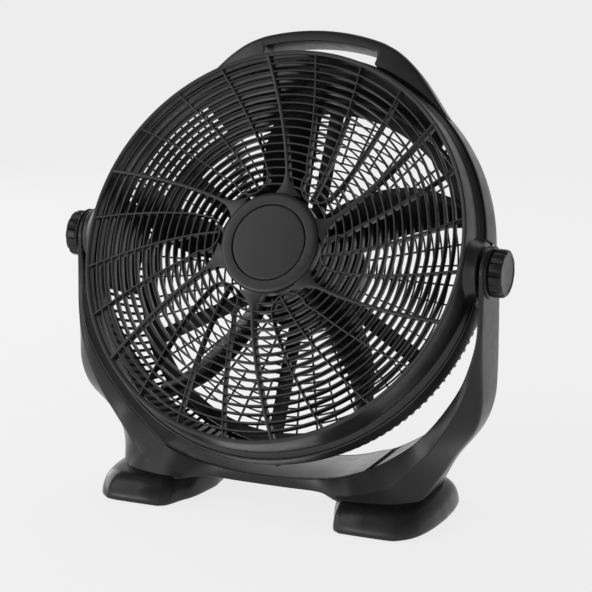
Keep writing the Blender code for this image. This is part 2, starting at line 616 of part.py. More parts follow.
# ---- fan blade: five pitched blades on a round hub, held by a lock nut ---------------------------------
# Radius, angles of the rear and front edges from the blade's centre line, depth along the axis.
BLADE_ROWS = [(0.0400, -22.0, 26.0, 0.034), (0.0750, -11.0, 21.5, 0.039), (0.1150, -8.8, 16.5, 0.041),
              (0.1500, -8.2, 11.0, 0.038), (0.1800, -8.4, 6.1, 0.033), (0.2050, -10.0, 0.8, 0.026),
              (0.2290, -11.4, -3.6, 0.018)]
blades = []
for number in range(BLADES):
    centre = BLADE_ANGLE + 360.0 * number / BLADES
    rings = []
    for radius, rear_edge, front_edge, depth in BLADE_ROWS:
        ring = []
        for face, order in ((1, (1.0, 0.35, -0.35, -1.0)), (-1, (-1.0, -0.35, 0.35, 1.0))):
            for s in order:
                thick = 0.0006 + 0.0008 * (1.0 - s * s)
                angle = centre + (rear_edge + front_edge) / 2 + s * (front_edge - rear_edge) / 2
                camber = 0.0045 * (1.0 - s * s)
                z = BLADE_Z + s * depth / 2 + camber + face * thick
                ring.append((*polar(radius, angle), z))
        rings.append(ring)
    blades.append(loft("blade_%d" % number, rings, HEAD_FRAME, cutter=True))
blade_set = joined("blade_set", blades)
hub_profile = [(0.0044, -0.0030), (0.0200, -0.0030), (0.0400, -0.0045), (FAN_HUB_R, -0.0090), (FAN_HUB_R, -0.0410),
               (0.0435, -0.0410), (0.0435, -0.0100), (0.0130, -0.0070), (0.0130, -0.0400), (0.0044, -0.0400)]
fan_blade = baked(lathe("fan_blade", hub_profile, HEAD_FRAME, GLOSS, steps=28))
combine(fan_blade, blade_set, "UNION", "blades")
nut_profile = [(0.0044, 0.0075), (0.0095, 0.0075), (0.0120, 0.0050), (0.0120, -0.0027), (0.0044, -0.0027)]
baked(lathe("lock_nut", nut_profile, HEAD_FRAME, GLOSS, steps=24))

# ---- rear cover with the speed switch, knob, capacitor and cord gland ---------------------------------
cover_profile = [(0.0700, -0.0888), (0.0700, -0.1190), (0.0660, -0.1250), (0.0046, -0.1250), (0.0046, -0.1225),
                 (0.0650, -0.1225), (0.0675, -0.1185), (0.0675, -0.0888)]
cover = baked(lathe("motor_cover", cover_profile, HEAD_FRAME, SATIN, steps=28))
down = HEAD_FRAME @ Matrix.Translation((0.0, 0.0, -0.1060)) @ Matrix.Rotation(math.pi / 2, 4, "X")
combine(cover, cylinder("gland_hole", 0.0066, 0.0500, 0.0900, down, cutter=True, sides=20),
        "DIFFERENCE", "gland_hole")
gland_profile = [(0.0062, 0.0640), (0.0062, 0.0705), (0.0090, 0.0705), (0.0090, 0.0735), (0.0072, 0.0830),
                 (0.0036, 0.0830), (0.0036, 0.0640)]
baked(lathe("cord_gland", gland_profile, down, RUBBER, steps=20))
cylinder("speed_switch", 0.0140, -0.1200, -0.0980, HEAD_FRAME, DARK, sides=24)
capacitor_spot = HEAD_FRAME @ Matrix.Translation((0.0400, 0.0, -0.1050))
mesh = bpy.data.meshes.new("capacitor")
work = bmesh.new()
bmesh.ops.create_cube(work, size=1.0, matrix=Matrix.Diagonal((0.0200, 0.0380, 0.0280, 1.0)))
work.to_mesh(mesh)
work.free()
place(bpy.data.objects.new("capacitor", mesh), capacitor_spot, DARK)

knob_profile = [(0.0, -0.1205), (0.0042, -0.1205), (0.0042, -0.1254), (0.0190, -0.1254), (0.0190, -0.1300),
                (0.0172, -0.1312), (0.0165, -0.1400), (0.0150, -0.1412), (0.0, -0.1412)]
speed_knob = baked(lathe("speed_knob", knob_profile, HEAD_FRAME, GLOSS, steps=24))
pointer = bpy.data.meshes.new("pointer")
work = bmesh.new()
bmesh.ops.create_cube(work, size=1.0, matrix=Matrix.Translation((0.0, 0.0060, -0.1415))
                      @ Matrix.Diagonal((0.0050, 0.0230, 0.0060, 1.0)))
work.to_mesh(pointer)
work.free()
combine(speed_knob, place(bpy.data.objects.new("pointer_bar", pointer), HEAD_FRAME, cutter=True), "UNION", "pointer")

for obj in FAN.objects:
    smooth(obj)
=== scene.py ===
"""Looks of the tilting floor fan: moulded plastic yoke, ducted drum, finned grilles, blades and knobs."""

import json
import math

import bmesh
import bpy
from mathutils import Matrix, Vector


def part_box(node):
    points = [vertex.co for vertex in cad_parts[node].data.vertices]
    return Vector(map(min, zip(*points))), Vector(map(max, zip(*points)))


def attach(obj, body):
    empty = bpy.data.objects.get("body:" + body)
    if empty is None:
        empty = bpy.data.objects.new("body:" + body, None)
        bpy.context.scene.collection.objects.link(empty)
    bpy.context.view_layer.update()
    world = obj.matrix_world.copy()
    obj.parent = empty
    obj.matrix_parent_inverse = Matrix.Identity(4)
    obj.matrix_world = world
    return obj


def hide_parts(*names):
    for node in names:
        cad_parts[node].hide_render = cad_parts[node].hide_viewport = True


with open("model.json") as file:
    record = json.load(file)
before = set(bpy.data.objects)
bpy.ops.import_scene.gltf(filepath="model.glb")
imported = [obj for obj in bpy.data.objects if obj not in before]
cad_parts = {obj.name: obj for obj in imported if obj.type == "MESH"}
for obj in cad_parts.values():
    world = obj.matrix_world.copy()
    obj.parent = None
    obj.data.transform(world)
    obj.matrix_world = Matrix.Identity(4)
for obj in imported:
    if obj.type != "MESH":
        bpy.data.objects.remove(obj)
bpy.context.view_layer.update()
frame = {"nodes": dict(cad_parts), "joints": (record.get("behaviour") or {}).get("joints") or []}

# ---- rubber pads under the feet ------------------------------------------------------------------
# Four round pads pressed into pockets under the feet. Solid black rubber, a little dusty from the
# floor, with a matte skin and fine moulding grain.


def settle(obj, place=None, sharp=38.0):
    """Bake a place into the mesh, weld it, turn its faces outwards and shade it smooth."""
    mesh = obj.data
    if place is not None:
        mesh.transform(place)
    work = bmesh.new()
    work.from_mesh(mesh)
    bmesh.ops.remove_doubles(work, verts=work.verts, dist=1e-6)
    bmesh.ops.dissolve_degenerate(work, edges=work.edges, dist=1e-7)
    bmesh.ops.recalc_face_normals(work, faces=work.faces)
    work.to_mesh(mesh)
    work.free()
    for face in mesh.polygons:
        face.use_smooth = True
    mesh.set_sharp_from_angle(angle=math.radians(sharp))
    return obj


def skin(name, rings, place=None, around=False, sharp=38.0):
    """Skin equal-length rings of points, closed round the object or capped at both ends."""
    work = bmesh.new()
    rows = [[work.verts.new(Vector(point)) for point in ring] for ring in rings]
    count = len(rows[0])
    for i in range(len(rows) if around else len(rows) - 1):
        first, second = rows[i], rows[(i + 1) % len(rows)]
        for j in range(count):
            k = (j + 1) % count
            work.faces.new((first[j], first[k], second[k], second[j]))
    if not around:
        work.faces.new(rows[0])
        work.faces.new(list(reversed(rows[-1])))
    mesh = bpy.data.meshes.new(name)
    work.to_mesh(mesh)
    work.free()
    obj = bpy.data.objects.new(name, mesh)
    bpy.context.scene.collection.objects.link(obj)
    return settle(obj, place, sharp)


def rounded(points, radius, steps=3):
    """Round the corners of an outline, each with its own radius or one for all."""
    points = [Vector(p) for p in points]
    result = []
    count = len(points)
    for i, point in enumerate(points):
        size = radius[i] if isinstance(radius, (list, tuple)) else radius
        if size <= 0.0:
            result.append(point)
            continue
        before, after = points[i - 1] - point, points[(i + 1) % count] - point
        start = point + before.normalized() * min(size, before.length * 0.46)
        end = point + after.normalized() * min(size, after.length * 0.46)
        for step in range(steps + 1):
            t = step / steps
            result.append(start * (1 - t) ** 2 + point * 2 * t * (1 - t) + end * t * t)
    return result


def turned(name, profile, place, steps=96):
    """Spin a closed (radius, height) profile about Z."""
    rings = []
    for number in range(steps):
        angle = 2 * math.pi * number / steps
        rings.append([(p[0] * math.cos(angle), p[0] * math.sin(angle), p[1]) for p in profile])
    return skin(name, rings, place, around=True)


def shader_of(name):
    """A new material with its tree, links and Principled shader."""
    mat = bpy.data.materials.new(name)
    mat.use_nodes = True
    tree = mat.node_tree
    return mat, tree, tree.nodes["Principled BSDF"]


def moulded(name, colour, rough, grain=1400.0, bump=0.12, highlight_strength=0.25, specular=0.5):
    """Injection-moulded plastic: fine spark grain, cloudy gloss, faint dust, and convex edges painted lighter
    as a painted highlight.
    """
    mat, tree, shader = shader_of(name)
    nodes, links = tree.nodes, tree.links
    where = nodes.new("ShaderNodeTexCoord")
    cloud = nodes.new("ShaderNodeTexNoise")
    cloud.inputs["Scale"].default_value = 14.0
    cloud.inputs["Detail"].default_value = 5.0
    links.new(where.outputs["Object"], cloud.inputs["Vector"])
    tone = nodes.new("ShaderNodeValToRGB")
    tone.color_ramp.elements[0].position = 0.30
    tone.color_ramp.elements[0].color = (*[c * 0.86 for c in colour], 1.0)
    tone.color_ramp.elements[1].position = 0.72
    tone.color_ramp.elements[1].color = (*[c * 1.14 for c in colour], 1.0)
    links.new(cloud.outputs["Fac"], tone.inputs["Fac"])
    # Convex edges are painted lighter by pointiness: a painted edge highlight, the same on every side
    # whatever the light.
    shape = nodes.new("ShaderNodeNewGeometry")
    edge = nodes.new("ShaderNodeMapRange")
    edge.inputs["From Min"].default_value = 0.53
    edge.inputs["From Max"].default_value = 0.66
    edge.inputs["To Min"].default_value = 0.0
    edge.inputs["To Max"].default_value = highlight_strength
    links.new(shape.outputs["Pointiness"], edge.inputs["Value"])
    edge_highlight_mix = nodes.new("ShaderNodeMix")
    edge_highlight_mix.data_type = "RGBA"
    edge_highlight_mix.inputs["B"].default_value = (*[min(1.0, c * 2.2 + 0.012) for c in colour], 1.0)
    links.new(edge.outputs["Result"], edge_highlight_mix.inputs["Factor"])
    links.new(tone.outputs["Color"], edge_highlight_mix.inputs["A"])
    links.new(edge_highlight_mix.outputs["Result"], shader.inputs["Base Color"])
    smear = nodes.new("ShaderNodeTexNoise")
    smear.inputs["Scale"].default_value = 55.0
    smear.inputs["Detail"].default_value = 4.0
    links.new(where.outputs["Object"], smear.inputs["Vector"])
    gloss = nodes.new("ShaderNodeMapRange")
    gloss.inputs["From Min"].default_value = 0.30
    gloss.inputs["From Max"].default_value = 0.70
    gloss.inputs["To Min"].default_value = max(0.05, rough - 0.05)
    gloss.inputs["To Max"].default_value = rough + 0.06
    links.new(smear.outputs["Fac"], gloss.inputs["Value"])
    links.new(gloss.outputs["Result"], shader.inputs["Roughness"])
    spark = nodes.new("ShaderNodeTexNoise")
    spark.inputs["Scale"].default_value = grain
    spark.inputs["Detail"].default_value = 2.0
    links.new(where.outputs["Object"], spark.inputs["Vector"])
    relief = nodes.new("ShaderNodeBump")
    relief.inputs["Strength"].default_value = bump
    relief.inputs["Distance"].default_value = 0.0004
    links.new(spark.outputs["Fac"], relief.inputs["Height"])
    links.new(relief.outputs["Normal"], shader.inputs["Normal"])
    shader.inputs["Specular IOR Level"].default_value = specular
    return mat


def paint(piece, mat):
    """Give a piece one material and no other."""
    piece.data.materials.clear()
    piece.data.materials.append(mat)


black_rubber = moulded("black_rubber", (0.016, 0.016, 0.016), 0.80, grain=900.0, bump=0.30, highlight_strength=0.10)
for number in range(1, 5):
    low, high = (Vector(corner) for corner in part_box("pad_%d" % number))
    centre = (low + high) / 2
    radius = (high.x - low.x) / 2
    pad_profile = rounded([(0.0, high.z), (radius, high.z), (radius, 0.0), (radius * 0.55, 0.0),
                           (radius * 0.5, 0.0005), (0.0, 0.0005)], [0, 0.0003, 0.0008, 0.0002, 0.0002, 0])
    pad = turned("foot_pad_%d" % number, pad_profile, Matrix.Translation((centre.x, centre.y, 0.0)), steps=48)
    paint(pad, black_rubber)
    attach(pad, "base")
    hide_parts("pad_%d" % number)

# ---- feet ----------------------------------------------------------------------------------------
# Two broad shoes, each a hollow charcoal moulding screwed up into a leg of the yoke. Their walls stand
# up from a small lip at the floor, then lean in and roll over towards the leg.
joints = {joint["name"]: joint for joint in frame["joints"]}
pivot = Vector(joints["head_tilt"]["pos_m"])
BASE_PLACE = Matrix.Translation((0.0, pivot.y, 0.0))
charcoal = moulded("charcoal_satin", (0.0130, 0.0130, 0.0134), 0.27, grain=1500.0, bump=0.05, highlight_strength=0.22,
                   specular=0.32)

FOOT_MIDDLE = 150.0
FOOT_HALF_DEPTH = 99.3
FOOT_SETBACK = -9.7
FOOT_OUTER = [(FOOT_MIDDLE, FOOT_HALF_DEPTH), (186.0, 98.6), (197.5, 93.0), (207.5, 81.5), (214.5, 65.0),
              (219.6, 36.0), (221.6, 0.0)]
FOOT_INNER = [(121.0, 98.8), (111.0, 90.5), (103.0, 68.0), (94.0, 45.0), (88.0, 0.0)]
# Each level: its height, then how far the outer side, the inner side and the ends draw in, in millimetres.
FOOT_LEVELS = [(0.0015, 2.2, 2.2, 2.2), (0.0022, 0.7, 0.8, 0.8), (0.0036, 0.0, 0.2, 0.0),
               (0.0080, 0.2, 0.0, 0.9), (0.0120, 0.8, 0.0, 2.3), (0.0165, 1.8, 0.2, 4.6),
               (0.0205, 3.2, 0.7, 7.0), (0.0240, 5.0, 1.4, 9.6), (0.0272, 7.8, 2.4, 12.4),
               (0.0298, 11.5, 3.8, 15.4), (0.0318, 16.0, 5.4, 18.6), (0.0330, 21.0, 7.2, 22.0),
               (0.0335, 26.0, 9.5, 26.0)]


def smooth_path(points, steps):
    """Points along a Catmull-Rom curve through the given ones."""
    points = [Vector(p) for p in points]
    padded = [points[0] * 2 - points[1]] + points + [points[-1] * 2 - points[-2]]
    result = []
    for i in range(1, len(padded) - 2):
        a, b, c, d = padded[i - 1:i + 3]
        for step in range(steps):
            t = step / steps
            result.append(0.5 * (2 * b + (c - a) * t + (2 * a - 5 * b + 4 * c - d) * t * t
                                 + (3 * b - a - 3 * c + d) * t ** 3))
    result.append(points[-1])
    return result


def foot_ring(level, trim_out, trim_in, trim_end):
    """The right foot's outline at a height, drawn in towards its middle by the trims."""
    width_out = FOOT_OUTER[-1][0] - FOOT_MIDDLE
    width_in = FOOT_MIDDLE - FOOT_INNER[-1][0]
    shrink = 1.0 - trim_end / FOOT_HALF_DEPTH
    outer = [(x - trim_out * (x - FOOT_MIDDLE) / width_out, y * shrink) for x, y in FOOT_OUTER]
    inner = [(x + trim_in * (FOOT_MIDDLE - x) / width_in, y * shrink) for x, y in FOOT_INNER]
    outer = [(p.x, p.y) for p in smooth_path([(x, y, 0.0) for x, y in outer], 4)]
    inner = [(p.x, p.y) for p in smooth_path([(x, y, 0.0) for x, y in inner], 4)]
    front = outer + [(x, -y) for x, y in reversed(outer[:-1])]
    rear = [(x, -y) for x, y in inner] + list(reversed(inner[:-1]))
    return [(x / 1000.0, (FOOT_SETBACK - y) / 1000.0, level) for x, y in front + rear]


for side, label in ((1, "right"), (-1, "left")):
    rings = [[(side * x, y, z) for x, y, z in foot_ring(*level)] for level in FOOT_LEVELS]
    foot = skin("shoe_" + label, rings, BASE_PLACE, sharp=50.0)
    paint(foot, charcoal)
    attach(foot, "base")
    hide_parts("foot_" + label)

# ---- yoke ----------------------------------------------------------------------------------------
# One U-shaped charcoal moulding. Flat arms rise to the tilt axis, the front face is a band with a ridge
# along its outer side, and below it the legs flare out on to the feet.
ARM_END_RADIUS = 30.9
ARM_FOOT_HEIGHT = 0.232
# Each row, in millimetres: inner edge, ridge, outer corner, shift of the rear half, depth of the inner
# channel, and how far back the rear corner stands.
YOKE_ROWS = []
for rise in (86.0, 74.0, 60.0, 45.0, 30.0, 15.0, 0.0):
    height = pivot.z * 1000.0 + ARM_END_RADIUS * math.sin(math.radians(rise))
    half = ARM_END_RADIUS * math.cos(math.radians(rise))
    YOKE_ROWS.append(((263.9, -half, height), (268.4, -half, height), (270.2, -half + 1.4, height), 0.0, 0.8,
                      half - 1.4))
YOKE_ROWS += [
    ((263.9, -31.1, 290.0), (268.4, -31.1, 290.0), (270.2, -29.8, 290.0), 0.0, 0.8, 29.8),
    ((263.9, -32.0, 262.0), (268.4, -32.0, 262.0), (270.2, -30.4, 262.0), 0.0, 0.8, 30.4),
    ((262.9, -36.0, 231.6), (267.0, -36.0, 229.6), (270.2, -30.9, 228.0), 0.0, 0.8, 31.5),
    ((254.3, -41.0, 196.0), (261.0, -41.0, 193.0), (270.2, -28.9, 190.0), 0.0, 0.8, 32.5),
    ((241.5, -41.5, 168.5), (249.3, -45.3, 160.0), (270.2, -28.0, 152.0), 0.0, 0.8, 24.0),
    ((219.2, -42.5, 135.1), (231.6, -47.8, 125.5), (260.0, -22.0, 119.7), 0.0, 0.8, 13.5),
    ((197.8, -43.4, 110.0), (212.3, -48.3, 96.5), (230.5, -6.0, 81.1), 0.0, 0.8, 16.5),
    ((181.4, -44.8, 95.5), (195.4, -52.6, 78.2), (214.0, -18.0, 53.1), -4.0, 0.8, 19.0),
    ((164.1, -50.2, 83.5), (180.5, -58.0, 63.7), (200.0, -45.0, 31.0), -8.0, 0.8, 40.0),
    ((148.0, -56.0, 73.8), (165.0, -63.0, 51.6), (180.0, -68.0, 29.0), -12.0, 0.8, 62.0),
    ((133.2, -61.8, 66.6), (149.0, -68.1, 44.9), (148.0, -80.6, 28.0), -19.0, 2.8, 61.6),
    ((113.0, -65.0, 59.6), (127.5, -75.0, 39.5), (124.5, -84.5, 28.0), -19.0, 2.8, 65.5),
    ((92.6, -63.5, 53.4), (102.5, -74.0, 36.5), (102.5, -78.0, 30.4), -19.0, 2.8, 59.0),
    ((67.6, -61.8, 48.9), (70.0, -64.8, 34.4), (70.0, -56.0, 33.4), -19.0, 2.8, 37.0),
    ((33.8, -62.2, 45.4), (34.0, -63.0, 33.2), (34.0, -50.0, 31.6), -19.0, 2.8, 31.0),
    ((0.0, -62.7, 44.4), (0.0, -62.7, 33.0), (0.0, -50.0, 31.5), -19.0, 2.8, 31.0),
]


def away_from_axis(point, distance):
    """Move a point of the yoke straight away from the tilt axis, across the moulding's section."""
    if point.z > ARM_FOOT_HEIGHT:
        return point + Vector((distance, 0.0, 0.0))
    direction = Vector((point.x, 0.0, point.z - pivot.z)).normalized()
    return point + direction * distance


def yoke_ring(inner, ridge, corner, shift, depth, rear):
    """One closed section of the moulding, front half first, with the shallow channel on its inner side."""
    inset = min(0.0035, -inner.y * 0.3)
    floor_front = away_from_axis(inner + Vector((0.0, inset, 0.0)), depth)
    back = [Vector((p.x, -p.y + shift, p.z)) for p in (inner, ridge)] + [Vector((corner.x, rear, corner.z))]
    floor_back = away_from_axis(back[0] - Vector((0.0, inset, 0.0)), depth)
    outline = [inner, ridge, corner, back[2], back[1], back[0], floor_back, floor_front]
    return rounded(outline, [0.0010, 0.0014, 0.0050, 0.0050, 0.0014, 0.0010, 0.0012, 0.0012], steps=4)


def yoke_rings(rows, steps):
    """Smoothly interpolated rings through the yoke's rows."""
    tracks = [smooth_path([Vector(row[i]) / 1000.0 for row in rows], steps) for i in range(3)]
    shifts = smooth_path([Vector(row[3:6]) / 1000.0 for row in rows], steps)
    return [yoke_ring(a, b, c, *s) for a, b, c, s in zip(*tracks, shifts)]


half_yoke = yoke_rings(YOKE_ROWS, 6)
other_half = [[(-p.x, p.y, p.z) for p in ring] for ring in reversed(half_yoke[:-1])]
yoke = skin("yoke_moulding", half_yoke + other_half, BASE_PLACE, sharp=32.0)
paint(yoke, charcoal)
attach(yoke, "base")
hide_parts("yoke")

# ---- saddle tray ---------------------------------------------------------------------------------
# A curved charcoal cover let into the top of the yoke between its legs and held by one screw. Its skin
# is a little glossier than the yoke's.
glossy_tray = moulded("tray_satin", (0.0140, 0.0140, 0.0146), 0.20, grain=1700.0, bump=0.07, highlight_strength=0.25)


def tray_ring(inner, shift):
    """One section of the cover: a thin plate let into the channel."""
    front = inner + Vector((0.0, 0.0038, 0.0))
    back = Vector((inner.x, -inner.y + shift - 0.0038, inner.z))
    low = [away_from_axis(p, 0.0022) for p in (back, front)]
    return rounded([front, back] + low, [0.0009, 0.0009, 0.0003, 0.0003], steps=3)


SADDLE_SHIFT = -0.019
saddle_path = smooth_path([Vector(row[0]) / 1000.0 for row in YOKE_ROWS[-6:]], 6)
tray_half = [tray_ring(point, SADDLE_SHIFT) for point in saddle_path]
tray_other = [[(-p.x, p.y, p.z) for p in ring] for ring in reversed(tray_half[:-1])]
tray = skin("saddle_cover", tray_half + tray_other, BASE_PLACE)
paint(tray, glossy_tray)
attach(tray, "base")
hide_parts("saddle_tray")

# ---- drum and its shells -------------------------------------------------------------------------
# A black duct ring with two outer shells snapped round its back half. The lip where the shells start
# catches the light. The upper shell carries the handle.
forward = Vector(joints["blade_spin"]["axis"]).normalized()
across = Vector((1.0, 0.0, 0.0))
head_axes = Matrix((across, forward.cross(across), forward)).transposed()
HEAD_PLACE = Matrix.Translation(pivot) @ head_axes.to_4x4()
satin_black = moulded("satin_black", (0.0085, 0.0085, 0.0089), 0.30, grain=1500.0, bump=0.09, highlight_strength=0.30)

drum_profile = rounded([(0.2490, 0.0172), (0.2497, 0.0010), (0.2545, -0.0035), (0.2560, -0.0055),
                        (0.2560, -0.0285), (0.2530, -0.0285), (0.2530, -0.0075), (0.2470, 0.0020),
                        (0.2455, 0.0172)],
                       [0.0004, 0.003, 0.002, 0.002, 0.0008, 0.0008, 0.003, 0.003, 0.0004])
drum = turned("duct_ring", drum_profile, HEAD_PLACE, steps=192)


def arc_of(name, section, start, end, count):
    """Carry a (radius, height) section along an arc round the fan axis."""
    rings = []
    for number in range(count + 1):
        angle = math.radians(start + (end - start) * number / count)
        rings.append([(p[0] * math.cos(angle), p[0] * math.sin(angle), p[1]) for p in section])
    return skin(name, rings, HEAD_PLACE)


lower_section = rounded([(0.2566, -0.0040), (0.2580, -0.0048), (0.2584, -0.0290), (0.2562, -0.0290),
                         (0.2561, -0.0040)], [0.0004, 0.0010, 0.0012, 0.0004, 0.0002])
lower_shell = arc_of("lower_band", lower_section, 189.2, 350.8, 120)
upper_section = rounded([(0.2566, -0.0040), (0.2580, -0.0048), (0.2590, -0.0160), (0.2607, -0.0386),
                         (0.2590, -0.0386), (0.2561, -0.0040)],
                        [0.0004, 0.0010, 0.01, 0.0008, 0.0005, 0.0002])
upper_shell = arc_of("upper_band", upper_section, 9.2, 170.8, 120)

# Each row: degrees from the top, outer radius, inner radius, front depth and rear depth.
HANDLE_ROWS = [(0.0, 0.2887, 0.2740, 0.0048, -0.0290), (8.0, 0.2886, 0.2741, 0.0048, -0.0290),
               (14.0, 0.2884, 0.2742, 0.0048, -0.0293), (15.9, 0.2883, 0.2735, 0.0047, -0.0295),
               (16.8, 0.2881, 0.2640, 0.0046, -0.0298), (17.2, 0.2879, 0.2575, 0.0046, -0.0300),
               (21.0, 0.2858, 0.2572, 0.0038, -0.0315), (26.0, 0.2803, 0.2572, 0.0014, -0.0330),
               (31.0, 0.2730, 0.2572, -0.0012, -0.0345), (36.0, 0.2660, 0.2572, -0.0030, -0.0355),
               (40.0, 0.2618, 0.2574, -0.0042, -0.0362), (43.0, 0.2600, 0.2576, -0.0048, -0.0366)]


def handle_ring(row, side):
    """One section of the handle, to one side of the top."""
    angle, outer, inner, front, rear = row
    turn = math.radians(90.0 + side * angle)
    soft = min(0.0060, (outer - inner) * 0.42)
    outline = rounded([(inner, front, 0.0), (outer, front, 0.0), (outer, rear, 0.0), (inner, rear, 0.0)],
                      [0.0012, soft, soft, 0.0012], steps=4)
    return [(p.x * math.cos(turn), p.x * math.sin(turn), p.y) for p in outline]


handle_radii = smooth_path([row[:3] for row in HANDLE_ROWS], 4)
handle_depths = smooth_path([(row[3], row[4], 0.0) for row in HANDLE_ROWS], 4)
handle_rows = [(*radii_at, depth_at.x, depth_at.y) for radii_at, depth_at in zip(handle_radii, handle_depths)]
handle_rings = [handle_ring(row, -1) for row in reversed(handle_rows)]
handle_rings += [handle_ring(row, 1) for row in handle_rows[1:]]
handle = skin("carrying_handle", handle_rings, HEAD_PLACE, sharp=34.0)
for piece in (drum, lower_shell, upper_shell, handle):
    paint(piece, satin_black)
    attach(piece, "head")
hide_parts("drum_ring")
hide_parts("lower_shell")
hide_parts("upper_shell")
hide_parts("upper_shell")

# ---- rear grille ---------------------------------------------------------------------------------
# One black moulding: a curved ladder of close bars, with closed panels at the top and behind the
# bosses, runs to a broad flat ring, and inside it six spokes, fine ribs and rings carry the motor plate.
grille_black = moulded("grille_black", (0.0065, 0.0065, 0.0068), 0.38, grain=1500.0, bump=0.08, highlight_strength=0.20)


def set_inputs(modifier, tree, **values):
    """Set a modifier's inputs by socket identifier, looked up by name."""
    for item in tree.interface.items_tree:
        if item.item_type == "SOCKET" and item.in_out == "INPUT" and item.name in values:
            modifier[item.identifier] = values[item.name]


def new_tree(name, sockets):
    """An empty Geometry Nodes tree with named inputs."""
    tree = bpy.data.node_groups.new(name, "GeometryNodeTree")
    tree.interface.new_socket("Geometry", in_out="INPUT", socket_type="NodeSocketGeometry")
    for label, kind in sockets:
        tree.interface.new_socket(label, in_out="INPUT", socket_type=kind)
    tree.interface.new_socket("Geometry", in_out="OUTPUT", socket_type="NodeSocketGeometry")
    source = tree.nodes.new("NodeGroupInput")
    result = tree.nodes.new("NodeGroupOutput")
    return tree, tree.nodes, tree.links, source, result


def repeat_tree():
    """Instances of the input round Z, a fixed angle apart."""
    tree, nodes, links, source, result = new_tree("repeat_round_axis", [
        ("Count", "NodeSocketInt"), ("Step", "NodeSocketFloat"), ("Finish", "NodeSocketMaterial")])
    points = nodes.new("GeometryNodePoints")
    index = nodes.new("GeometryNodeInputIndex")
    turn = nodes.new("ShaderNodeMath")
    turn.operation = "MULTIPLY"
    angle = nodes.new("ShaderNodeCombineXYZ")
    copies = nodes.new("GeometryNodeInstanceOnPoints")
    real = nodes.new("GeometryNodeRealizeInstances")
    finish = nodes.new("GeometryNodeSetMaterial")
    links.new(source.outputs["Count"], points.inputs["Count"])
    links.new(index.outputs["Index"], turn.inputs[0])
    links.new(source.outputs["Step"], turn.inputs[1])
    links.new(turn.outputs["Value"], angle.inputs["Z"])
    links.new(points.outputs["Points"], copies.inputs["Points"])
    links.new(source.outputs["Geometry"], copies.inputs["Instance"])
    links.new(angle.outputs["Vector"], copies.inputs["Rotation"])
    links.new(copies.outputs["Instances"], real.inputs["Geometry"])
    links.new(real.outputs["Geometry"], finish.inputs["Geometry"])
    links.new(source.outputs["Finish"], finish.inputs["Material"])
    links.new(finish.outputs["Geometry"], result.inputs["Geometry"])
    return tree


def ring_tree():
    """Concentric rings of one section, a fixed pitch apart."""
    tree, nodes, links, source, result = new_tree("concentric_rings", [
        ("Count", "NodeSocketInt"), ("Radius", "NodeSocketFloat"), ("Pitch", "NodeSocketFloat"),
        ("Thickness", "NodeSocketFloat"), ("Depth", "NodeSocketFloat"), ("Round", "NodeSocketFloat"),
        ("Sides", "NodeSocketInt"), ("Finish", "NodeSocketMaterial")])
    points = nodes.new("GeometryNodePoints")
    index = nodes.new("GeometryNodeInputIndex")
    inset = nodes.new("ShaderNodeMath")
    inset.operation = "MULTIPLY"
    size = nodes.new("ShaderNodeMath")
    size.operation = "SUBTRACT"
    scale = nodes.new("ShaderNodeCombineXYZ")
    scale.inputs["Z"].default_value = 1.0
    loop = nodes.new("GeometryNodeCurvePrimitiveCircle")
    loop.inputs["Radius"].default_value = 1.0
    copies = nodes.new("GeometryNodeInstanceOnPoints")
    real = nodes.new("GeometryNodeRealizeInstances")
    section = nodes.new("GeometryNodeCurvePrimitiveQuadrilateral")
    corners = nodes.new("GeometryNodeFilletCurve")
    corners.mode = "POLY"
    corners.inputs["Count"].default_value = 2
    solid = nodes.new("GeometryNodeCurveToMesh")
    last = nodes.new("GeometryNodeRealizeInstances")
    finish = nodes.new("GeometryNodeSetMaterial")
    links.new(source.outputs["Count"], points.inputs["Count"])
    links.new(index.outputs["Index"], inset.inputs[0])
    links.new(source.outputs["Pitch"], inset.inputs[1])
    links.new(source.outputs["Radius"], size.inputs[0])
    links.new(inset.outputs["Value"], size.inputs[1])
    links.new(size.outputs["Value"], scale.inputs["X"])
    links.new(size.outputs["Value"], scale.inputs["Y"])
    links.new(source.outputs["Sides"], loop.inputs["Resolution"])
    links.new(points.outputs["Points"], copies.inputs["Points"])
    links.new(loop.outputs["Curve"], copies.inputs["Instance"])
    links.new(scale.outputs["Vector"], copies.inputs["Scale"])
    links.new(copies.outputs["Instances"], real.inputs["Geometry"])
    links.new(real.outputs["Geometry"], solid.inputs["Curve"])
    links.new(source.outputs["Thickness"], section.inputs["Width"])
    links.new(source.outputs["Depth"], section.inputs["Height"])
    links.new(section.outputs["Curve"], corners.inputs["Curve"])
    links.new(source.outputs["Round"], corners.inputs["Radius"])
    links.new(corners.outputs["Curve"], solid.inputs["Profile Curve"])
    links.new(solid.outputs["Mesh"], last.inputs["Geometry"])
    links.new(last.outputs["Geometry"], finish.inputs["Geometry"])
    links.new(source.outputs["Finish"], finish.inputs["Material"])
    links.new(finish.outputs["Geometry"], result.inputs["Geometry"])
    return tree


REPEAT = repeat_tree()
RINGS = ring_tree()


def grown(name, tree, source, place, **values):
    """Grow a piece with a tree from a source object, then keep only its plain mesh."""
    modifier = source.modifiers.new("growth", "NODES")
    modifier.node_group = tree
    set_inputs(modifier, tree, **values)
    bpy.context.view_layer.update()
    graph = bpy.context.evaluated_depsgraph_get()
    mesh = bpy.data.meshes.new_from_object(source.evaluated_get(graph))
    bpy.data.objects.remove(source, do_unlink=True)
    obj = bpy.data.objects.new(name, mesh)
    bpy.context.scene.collection.objects.link(obj)
    return settle(obj, place)


def repeated(name, source, count, step_degrees, mat):
    """Copies of a source piece round the fan axis."""
    return grown(name, REPEAT, source, HEAD_PLACE, Count=count, Step=math.radians(step_degrees), Finish=mat)


def empty_source(name):
    obj = bpy.data.objects.new(name, bpy.data.meshes.new(name))
    bpy.context.scene.collection.objects.link(obj)
    return obj


